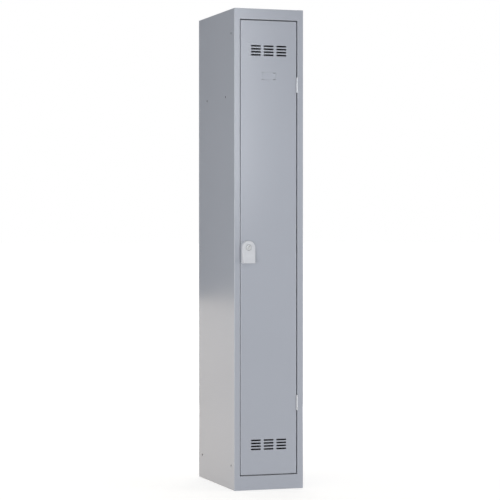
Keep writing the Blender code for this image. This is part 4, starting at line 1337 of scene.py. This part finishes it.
TUBE_AXIS = (0.0, *middle_of("hanging_rail")[1:])
angle_low, angle_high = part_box("rail_bracket_left")
angle_left = fold_bracket("rail_angle_left", angle_low, angle_high)
angle_right = mirror_copy(angle_left, "rail_angle_right")
for angle_sheet, facing, angle_node in (
    (angle_left, -1, "rail_bracket_left"),
    (angle_right, 1, "rail_bracket_right"),
):
    open_mesh(angle_sheet)
    make_steel(angle_sheet, (facing, 0, 0))
    rail_place = (-facing * angle_low.x, *TUBE_AXIS[1:])
    cut_with(angle_sheet, round_cutter(rail_place, RAIL_HOLE, PUNCH, "X"))
    soften(angle_sheet, RIM)
    hand_over(angle_sheet, "zinc_plate", "carcass", angle_node)

# %% [markdown]
# ## Handle
# The handle is a moulding with an arched top. Below the lock its face runs out in a hollow curve to
# a lip, and the back is hollow there, so that fingers reach in from below. The blank is a cube
# whose corners are rounded and whose front is drawn in a little, as a moulding's draft. The side
# line of the face is then cut out of it, and the finger pocket, the lock's seat and the two screw
# holes are taken away. Drawing the curve into the cube's own faces would be harder to keep even.

# %% Handle blank
HANDLE_ARCH, HANDLE_ARCH_STEPS = 0.0290, 16
HANDLE_FOOT, HANDLE_FOOT_STEPS = 0.003, 6
HANDLE_DRAFT = 0.005


def handle_blank(low, high):
    """A block with an arched top and rounded feet, whose front is drawn in."""
    blank = add_box("pull_handle", low, high)
    arch = (high.z, HANDLE_ARCH, HANDLE_ARCH_STEPS)
    foot = (low.z, HANDLE_FOOT, HANDLE_FOOT_STEPS)
    for z, radius, steps in (arch, foot):
        pick(blank, "EDGE", lambda place, way: abs(way.y) > ALIGNED and near(place.z, z))
        bpy.ops.mesh.bevel(offset=radius, segments=steps, affect="EDGES")
    pick(blank, "VERT", lambda place, way: near(place.y, low.y))
    drawn = (1 - 2 * HANDLE_DRAFT / (high.x - low.x), 1, 1 - HANDLE_DRAFT / (high.z - low.z))
    bpy.ops.transform.resize(value=drawn, center_override=(LOCK_X, low.y, low.z))
    close_mesh()
    return blank


handle_low, handle_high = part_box("lock_handle")
pull_handle = handle_blank(handle_low, handle_high)
print("handle blank:", len(pull_handle.data.polygons), "faces")

# %% Handle face and pocket
HANDLE_WALL = 0.003
HANDLE_LIP = 0.003
HANDLE_THICK = 0.0087
FLARE_TOP, FLARE_STEPS = 0.0195, 20
SPARE = 0.004
face_y, lip_z = handle_high.y - HANDLE_THICK, handle_low.z + HANDLE_LIP
flare_z = LOCK_Z - FLARE_TOP
handle_rear, handle_outside = handle_high.y + SPARE, handle_low.y - SPARE


def flare(face, lip, top, bottom):
    """A hollow curve that leaves the face flat at the top and meets the lip below, as (y, z)."""
    out, fall = face - lip, top - bottom
    radius = (fall * fall + out * out) / (2 * out)
    sweep = math.degrees(math.asin(fall / radius))
    return arc((face - radius, top), radius, 0, -sweep, FLARE_STEPS)


def cut_face(handle, low, high):
    above, below = high.z + SPARE, low.z - SPARE
    line = [(handle_rear, above), (face_y, above), *flare(face_y, low.y, flare_z, lip_z)]
    line += [(handle_outside, lip_z), (handle_outside, below), (handle_rear, below)]
    mould = draw_plate("handle_line", line, "X", low.x - SPARE, high.x + SPARE)
    cut_with(handle, mould, "INTERSECT")


def cut_pocket(handle, low, high):
    below, inner_y, top = low.z - SPARE, low.y + HANDLE_WALL, flare_z - HANDLE_WALL
    line = [(handle_rear, top), *flare(face_y + HANDLE_WALL, inner_y, top, lip_z)]
    line += [(inner_y, below), (handle_rear, below)]
    half = (high.x - low.x) / 2 - HANDLE_DRAFT - HANDLE_WALL
    cut_with(handle, draw_plate("finger_pocket", line, "X", LOCK_X - half, LOCK_X + half))


cut_face(pull_handle, handle_low, handle_high)
cut_pocket(pull_handle, handle_low, handle_high)
print("handle shaped:", len(pull_handle.data.polygons), "faces")

# %% Handle bores
LOCK_SEAT, LOCK_SEAT_DEPTH = 0.0108, 0.0012
LOCK_GROOVE, LOCK_GROOVE_DEPTH = 0.0124, 0.0024
HANDLE_RIM, HANDLE_RIM_STEPS = 0.0008, 3


def bore_handle(handle, back):
    seat_y, groove_y = face_y + LOCK_SEAT_DEPTH, face_y + LOCK_GROOVE_DEPTH
    bore = [(0, handle_outside), (LOCK_GROOVE, handle_outside), (LOCK_GROOVE, groove_y)]
    bore += [(LOCK_SEAT, groove_y), (LOCK_SEAT, seat_y), (LOCK_HOLE, seat_y)]
    bore += [(LOCK_HOLE, handle_rear), (0, handle_rear)]
    cut_with(handle, turn("lock_seat", bore, LOCK_AXIS, "Y"))
    for node in SCREW_NODES:
        x, _, z = middle_of(node)
        deep = 2 * (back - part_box(node)[0].y + SEAM)
        cut_with(handle, round_cutter((x, back, z), SCREW_HOLE, deep, "Y", SMALL_HOLE_SIDES))


bore_handle(pull_handle, handle_high.y)
soften(pull_handle, HANDLE_RIM, HANDLE_RIM_STEPS)
hand_over(pull_handle, "grey_plastic", "door", "lock_handle")

# %% [markdown]
# ## Lock
# The housing is a turned sleeve with a flange that sits in the handle. The plug turns in it: its
# head is slightly dished round the key slot, and a square spigot behind carries the cam. A hexagon
# nut clamps the housing to the door, and a slotted screw holds the cam. A flat disc with a dark
# stripe would do from afar, but it would not turn, and nothing would lock.

# %% Lock housing
PLUG_HEAD, PLUG_HEAD_BORE, PLUG_BORE = 0.0015, 0.0073, 0.0063
HOUSING_BODY, HOUSING_FLANGE = 0.008, 0.002
LOCK_RIM = 0.00025


def turn_housing():
    low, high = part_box("lock_housing")
    flange, edge = (high.x - low.x) / 2, HOUSING_FLANGE / 2
    shoulder, under = low.y + SEAM + PLUG_HEAD + SEAM, low.y + HOUSING_FLANGE
    profile = [(PLUG_HEAD_BORE, low.y), (flange - edge, low.y), (flange, low.y + edge)]
    profile += [(flange, under), (HOUSING_BODY, under), (HOUSING_BODY, high.y)]
    profile += [(PLUG_BORE, high.y), (PLUG_BORE, shoulder), (PLUG_HEAD_BORE, shoulder)]
    housing = turn("lock_sleeve", profile + profile[:1], LOCK_AXIS, "Y")
    soften(housing, LOCK_RIM)
    hand_over(housing, "nickel_plate", "door", "lock_housing")


turn_housing()

# %% Lock plug
PLUG_BODY = 0.006
PLUG_DISH, PLUG_DISH_DEPTH = 0.0052, 0.0003
SPIGOT = 0.007
KEYWAY_WIDE, KEYWAY_DEEP, KEYWAY_HIGH = 0.0030, 0.008, 0.0080
CAM_SCREW = 0.0017


def turn_plug():
    low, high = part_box("lock_plug")
    rim, neck, dish = (high.x - low.x) / 2, low.y + PLUG_HEAD, low.y + PLUG_DISH_DEPTH
    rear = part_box("lock_housing")[1].y
    profile = [(0, dish), (PLUG_DISH - PLUG_DISH_DEPTH, dish), (PLUG_DISH, low.y)]
    profile += [(rim, low.y), (rim, neck), (PLUG_BODY, neck), (PLUG_BODY, rear), (0, rear)]
    plug = turn("key_plug", profile, LOCK_AXIS, "Y")
    half = SPIGOT / 2
    corner = (LOCK_X - half, rear - SPARE, LOCK_Z - half)
    cut_with(plug, box_cutter(corner, (LOCK_X + half, high.y, LOCK_Z + half)), "UNION")
    slot = Vector((LOCK_X, low.y, LOCK_Z))
    reach = Vector((KEYWAY_WIDE / 2, KEYWAY_DEEP, KEYWAY_HIGH / 2))
    cut_with(plug, box_cutter(slot - reach, slot + reach))
    deep = 2 * (high.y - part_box("cam_screw")[0].y + SEAM)
    thread = (LOCK_X, high.y, LOCK_Z)
    cut_with(plug, round_cutter(thread, CAM_SCREW + SEAM, deep, "Y", SMALL_HOLE_SIDES))
    soften(plug, LOCK_RIM)
    hand_over(plug, "nickel_plate", "lock_core", "lock_plug")


turn_plug()

# %% Nut and cam
NUT_BORE, NUT_SIDES = 0.0083, 6
CAM_TIP, CAM_TIP_STEPS, CAM_HEAD_STEPS = 0.003, 8, 20


def make_nut():
    low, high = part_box("lock_nut")
    last = 360 - 360 / NUT_SIDES
    outline = arc((LOCK_X, LOCK_Z), (high.x - low.x) / 2, 0, last, NUT_SIDES - 1)
    nut = draw_plate("hex_nut", outline, "Y", low.y, high.y)
    cut_with(nut, round_cutter((LOCK_X, middle_of("lock_nut")[1], LOCK_Z), NUT_BORE, PUNCH, "Y"))
    soften(nut, 2 * LOCK_RIM)
    hand_over(nut, "zinc_plate", "door", "lock_nut")


def make_cam():
    low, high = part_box("lock_cam")
    tip_z = low.z + CAM_TIP
    outline = arc((LOCK_X, LOCK_Z), high.x - LOCK_X, 0, 180, CAM_HEAD_STEPS)
    outline += arc((low.x + CAM_TIP, tip_z), CAM_TIP, 180, 270, CAM_TIP_STEPS)
    outline += arc((high.x - CAM_TIP, tip_z), CAM_TIP, 270, 360, CAM_TIP_STEPS)
    cam = draw_plate("cam_blade", outline, "Y", low.y, high.y)
    reach = Vector((SPIGOT / 2 + SEAM, SPARE, SPIGOT / 2 + SEAM))
    middle = Vector((LOCK_X, middle_of("lock_cam")[1], LOCK_Z))
    cut_with(cam, box_cutter(middle - reach, middle + reach))
    soften(cam, LOCK_RIM)
    hand_over(cam, "zinc_plate", "lock_core", "lock_cam")


make_nut()
make_cam()

# %% Screws
CAM_SCREW_HEAD = 0.0025
SCREW_SHANK, SCREW_HEAD = 0.0018, 0.002
SCREW_POINT = 0.6
SCREW_DOME = ((1.0, 0.45), (0.8, 0.12), (0.45, 0.0))
SCREW_SLOT = 0.0012
SCREW_STEPS = 32


def make_screw(name, node, shank, head, body):
    """A slotted screw that is driven from inside the locker."""
    low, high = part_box(node)
    x, _, z = middle_of(node)
    rim, seat = (high.x - low.x) / 2, high.y - head
    profile = [(0, low.y), (shank * SCREW_POINT, low.y), (shank, low.y + shank)]
    profile += [(shank, seat), (rim, seat)]
    profile += [(rim * out, high.y - head * down) for out, down in SCREW_DOME] + [(0, high.y)]
    screw = turn(name, profile, (x, 0, z), "Y", SCREW_STEPS)
    slot, reach = Vector((x, high.y, z)), Vector((rim + SPARE, head / 2, SCREW_SLOT / 2))
    cut_with(screw, box_cutter(slot - reach, slot + reach))
    soften(screw, LOCK_RIM / 2)
    hand_over(screw, "zinc_plate", body, node)


make_screw("cam_fixing", "cam_screw", CAM_SCREW, CAM_SCREW_HEAD, "lock_core")
for hand in ("left", "right"):
    fixing, screw_node = f"handle_fixing_{hand}", f"handle_screw_{hand}"
    make_screw(fixing, screw_node, SCREW_SHANK, SCREW_HEAD, "door")

# %% [markdown]
# ## Hinges
# Each hinge is two leaves rolled round one pin. A leaf's section is drawn as the strip and its curl
# in one closed line, drawn out to the hinge's length, and notched so that the two sets of knuckles
# mesh. A cylinder set on a plate looks much the same from afar, but close to, a rolled leaf shows
# the slit where its curl ends.

# %% Section of a hinge leaf
LEAF_OUTER, LEAF_INNER = 0.0022, 0.0012
CURL_STEPS = 40


def leaf_section(knuckle, back):
    """The strip and its curl as one closed line round the pin, which is at nought."""
    start = math.degrees(math.acos(LEAF_OUTER / knuckle))
    stop = math.degrees(math.acos(LEAF_INNER / knuckle)) - 360
    curl = arc((0, 0), knuckle, start, stop, CURL_STEPS)
    return [(LEAF_OUTER, back), *curl, (LEAF_INNER, back)]


hinge_low, hinge_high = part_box("hinge_upper_frame_leaf")
print("hinge:", [round(length, 4) for length in hinge_high - hinge_low], "m")

# %% Hinge leaves and pins
KNUCKLE_CLEAR = 0.0004
DOOR_KNUCKLE, KNUCKLE_GAP = 0.030, 0.0005
PIN, PIN_BORE = 0.0014, 0.0017
PIN_HEAD, PIN_HEAD_HIGH = 0.0022, 0.0008
PIN_DOME = ((0.55, 0.0), (0.9, 0.3), (1.0, 0.6), (1.0, 1.0))
PIN_STEPS = 32
HINGE_RIM = 0.0002
LEVELS = ("upper", "lower")


def roll_leaf(name, node, side, body):
    low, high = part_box(node)
    knuckle = (high.x - low.x) / 2
    axis_x, axis_y = (low.x + high.x) / 2, low.y + knuckle
    section = leaf_section(knuckle, high.y - axis_y)
    section = [(axis_x + side * x, axis_y + y) for x, y in section]
    leaf = draw_plate(name, section, "Z", low.z, high.z)
    middle, half = (low.z + high.z) / 2, DOOR_KNUCKLE / 2
    bottom, top = low.z - SPARE, high.z + SPARE
    if side > 0:
        spans = [(middle - half - KNUCKLE_GAP, middle + half + KNUCKLE_GAP)]
    else:
        spans = [(bottom, middle - half), (middle + half, top)]
    wide, clear_y = knuckle + SPARE, axis_y + knuckle + KNUCKLE_CLEAR
    for start, stop in spans:
        corner = (axis_x - wide, axis_y - wide, start)
        cut_with(leaf, box_cutter(corner, (axis_x + wide, clear_y, stop)))
    hole = [(0, bottom), (PIN_BORE, bottom), (PIN_BORE, top), (0, top)]
    cut_with(leaf, turn("pin_bore", hole, (axis_x, axis_y, 0), "Z", CURL_STEPS))
    soften(leaf, HINGE_RIM)
    hand_over(leaf, "zinc_plate", body, node)


def turn_pin(name, node):
    x, y, middle = middle_of(node)
    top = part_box(node)[1].z
    upper = [(0, top)]
    upper += [(PIN_HEAD * out, top - PIN_HEAD_HIGH * down) for out, down in PIN_DOME]
    upper.append((PIN, top - PIN_HEAD_HIGH))
    profile = upper + [(radius, 2 * middle - z) for radius, z in reversed(upper)]
    pin = turn(name, profile, (x, y, 0), "Z", PIN_STEPS)
    soften(pin, HINGE_RIM / 2)
    hand_over(pin, "zinc_plate", "carcass", node)


for level in LEVELS:
    roll_leaf(f"frame_leaf_{level}", f"hinge_{level}_frame_leaf", 1, "carcass")
    roll_leaf(f"door_leaf_{level}", f"hinge_{level}_door_leaf", -1, "door")
    turn_pin(f"pin_{level}", f"hinge_{level}_pin")

# %% [markdown]
# ## Rail and hooks
# The rail is a zinc-plated tube. Each hook is one bent wire, drawn as a curve with a round section:
# a loop round the rail, a stem, and an open throat that faces the door. A chain of edges with a
# Skin modifier could make the wire too, but a curve keeps its section round in every bend.

# %% Rail
TUBE_WALL = 0.0012


def turn_rail():
    low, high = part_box("hanging_rail")
    radius, end = (high.z - low.z) / 2, high.x
    bore = radius - TUBE_WALL
    profile = [(radius, -end), (radius, end), (bore, end), (bore, -end), (radius, -end)]
    tube = turn("rail_tube", profile, TUBE_AXIS, "X")
    soften(tube, LOCK_RIM)
    hand_over(tube, "zinc_plate", "carcass", "hanging_rail")


turn_rail()

# %% Line of a hook
HOOK_WIRE = 0.002
HOOK_STEM, HOOK_THROAT, HOOK_TIP = 0.030, 0.011, 0.010
HOOK_LOOP_START, HOOK_LOOP_STOP = 235, -50
HOOK_BEND, HOOK_BEND_STEPS = 0.009, 12
HOOK_LOOP_STEPS, HOOK_THROAT_STEPS = 48, 32


def hook_path(top):
    """The line of the wire as (y, z): the loop, a smooth bend into the stem, and the throat."""
    rail_y, rail_z = TUBE_AXIS[1:]
    loop = top - HOOK_WIRE - rail_z
    path = arc((rail_y, rail_z), loop, HOOK_LOOP_START, HOOK_LOOP_STOP, HOOK_LOOP_STEPS)
    last = math.radians(HOOK_LOOP_STOP)
    end, heading = Vector(path[-1]), Vector((math.sin(last), -math.cos(last)))
    neck, down = Vector((rail_y, rail_z - loop - HOOK_BEND)), Vector((0, -1))
    for step in range(1, HOOK_BEND_STEPS + 1):
        t = step / HOOK_BEND_STEPS
        bent = end * (2 * t**3 - 3 * t**2 + 1) + heading * HOOK_BEND * (t**3 - 2 * t**2 + t)
        bent += neck * (3 * t**2 - 2 * t**3) + down * HOOK_BEND * (t**3 - t**2)
        path.append(tuple(bent))
    throat_y, throat_z = rail_y - HOOK_THROAT, rail_z - loop - HOOK_STEM
    path += arc((throat_y, throat_z), HOOK_THROAT, 0, -180, HOOK_THROAT_STEPS)
    path.append((rail_y - 2 * HOOK_THROAT, throat_z + HOOK_TIP))
    return path


print("a hook's wire has a radius of", HOOK_WIRE, "m")

# %% Hooks
HOOK_WIRE_STEPS = 4
HOOK_END_ROUND, HOOK_END_STEPS = HOOK_WIRE * 0.35, 3


def bend_hook(name, node, body):
    x, path = middle_of(node)[0], hook_path(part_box(node)[1].z)
    curve = add_new(bpy.ops.curve.primitive_nurbs_path_add)
    curve.name = curve.data.name = name
    curve.data.splines.clear()
    wire = curve.data.splines.new("POLY")
    wire.points.add(len(path) - 1)
    for point, (y, z) in zip(wire.points, path):
        point.co = (x, y, z, 1)
    curve.data.bevel_depth = HOOK_WIRE
    curve.data.bevel_resolution = HOOK_WIRE_STEPS
    curve.data.use_fill_caps = True
    select_only(curve)
    bpy.ops.object.convert(target="MESH")
    hook = bpy.context.object
    mend_shell(hook)
    soften(hook, HOOK_END_ROUND, HOOK_END_STEPS)
    hand_over(hook, "zinc_plate", body, node)


bend_hook("hook_left", "coat_hook_left", "left_hook")
bend_hook("hook_right", "coat_hook_right", "right_hook")

# %% [markdown]
# ## Rivets and buffers
# The shelf hangs on four rivets whose flat heads sit flush in the sides. One is turned on the
# lathe, copied to the rear and mirrored to the other side. The buffers are small rubber pads on the
# stop. A pad is a plain block whose edges are rounded until it looks moulded. A dark spot on the
# side could pass for a rivet from afar, but a rivet's tail also shows under the shelf.

# %% Rivets
RIVET_HEAD, RIVET_SHANK, RIVET_TAIL = 0.0047, 0.0016, 0.003
RIVET_CROWN, RIVET_CROWN_DEEP = RIVET_HEAD * 0.7, 0.0001
RIVET_HEAD_DEEP, RIVET_TAIL_START, RIVET_TAIL_DEEP = 0.0005, 0.0019, 0.0008
RIVET_STEPS = 40


def turn_rivet(name, node):
    low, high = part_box(node)
    face, tail = low.x, low.x + RIVET_TAIL_START
    profile = [(0, face), (RIVET_CROWN, face + RIVET_CROWN_DEEP)]
    profile += [(RIVET_HEAD, face + RIVET_HEAD_DEEP), (RIVET_SHANK, face + RIVET_HEAD_DEEP)]
    profile += [(RIVET_SHANK, tail), (RIVET_TAIL, tail), (RIVET_TAIL, tail + RIVET_TAIL_DEEP)]
    profile += [(RIVET_TAIL / 2, high.x), (0, high.x)]
    return turn(name, profile, (0, *middle_of(node)[1:]), "X", RIVET_STEPS)


def set_rivets():
    front_node, rear_node = RIVET_NODES
    front = turn_rivet("rivet_left_front", front_node)
    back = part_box(rear_node)[0].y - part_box(front_node)[0].y
    rear = copy_of(front, "rivet_left_rear", (0, back, 0))
    for rivet, place in ((front, "front"), (rear, "rear")):
        twin = mirror_copy(rivet, f"rivet_right_{place}")
        mend_shell(twin)
        for piece, side in ((rivet, "left"), (twin, "right")):
            soften(piece, LOCK_RIM / 2)
            hand_over(piece, "dark_steel", "carcass", f"shelf_rivet_{side}_{place}")


set_rivets()

# %% Buffers
BUFFER_ROUND, BUFFER_STEPS = 0.0009, 4


def shape_buffer(name, node):
    pad = add_box(name, *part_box(node))
    close_mesh()
    soften(pad, BUFFER_ROUND, BUFFER_STEPS)
    hand_over(pad, "rubber", "carcass", node)


for level in LEVELS:
    shape_buffer(f"buffer_{level}", f"door_buffer_{level}")

# %% [markdown]
# ## Finishes on the frame
# The CAD nodes are all hidden behind their pieces now. Each still gets the finish of its piece, so
# that a node that is shown again on its own looks right. The record says which slot each node has.

# %% Finishes on the frame
for part in frame["record"]["subparts"]:
    node_finishes = frame["nodes"][part["node"]].data.materials
    node_finishes.clear()
    node_finishes.append(FINISHES[part["material_slot"]])
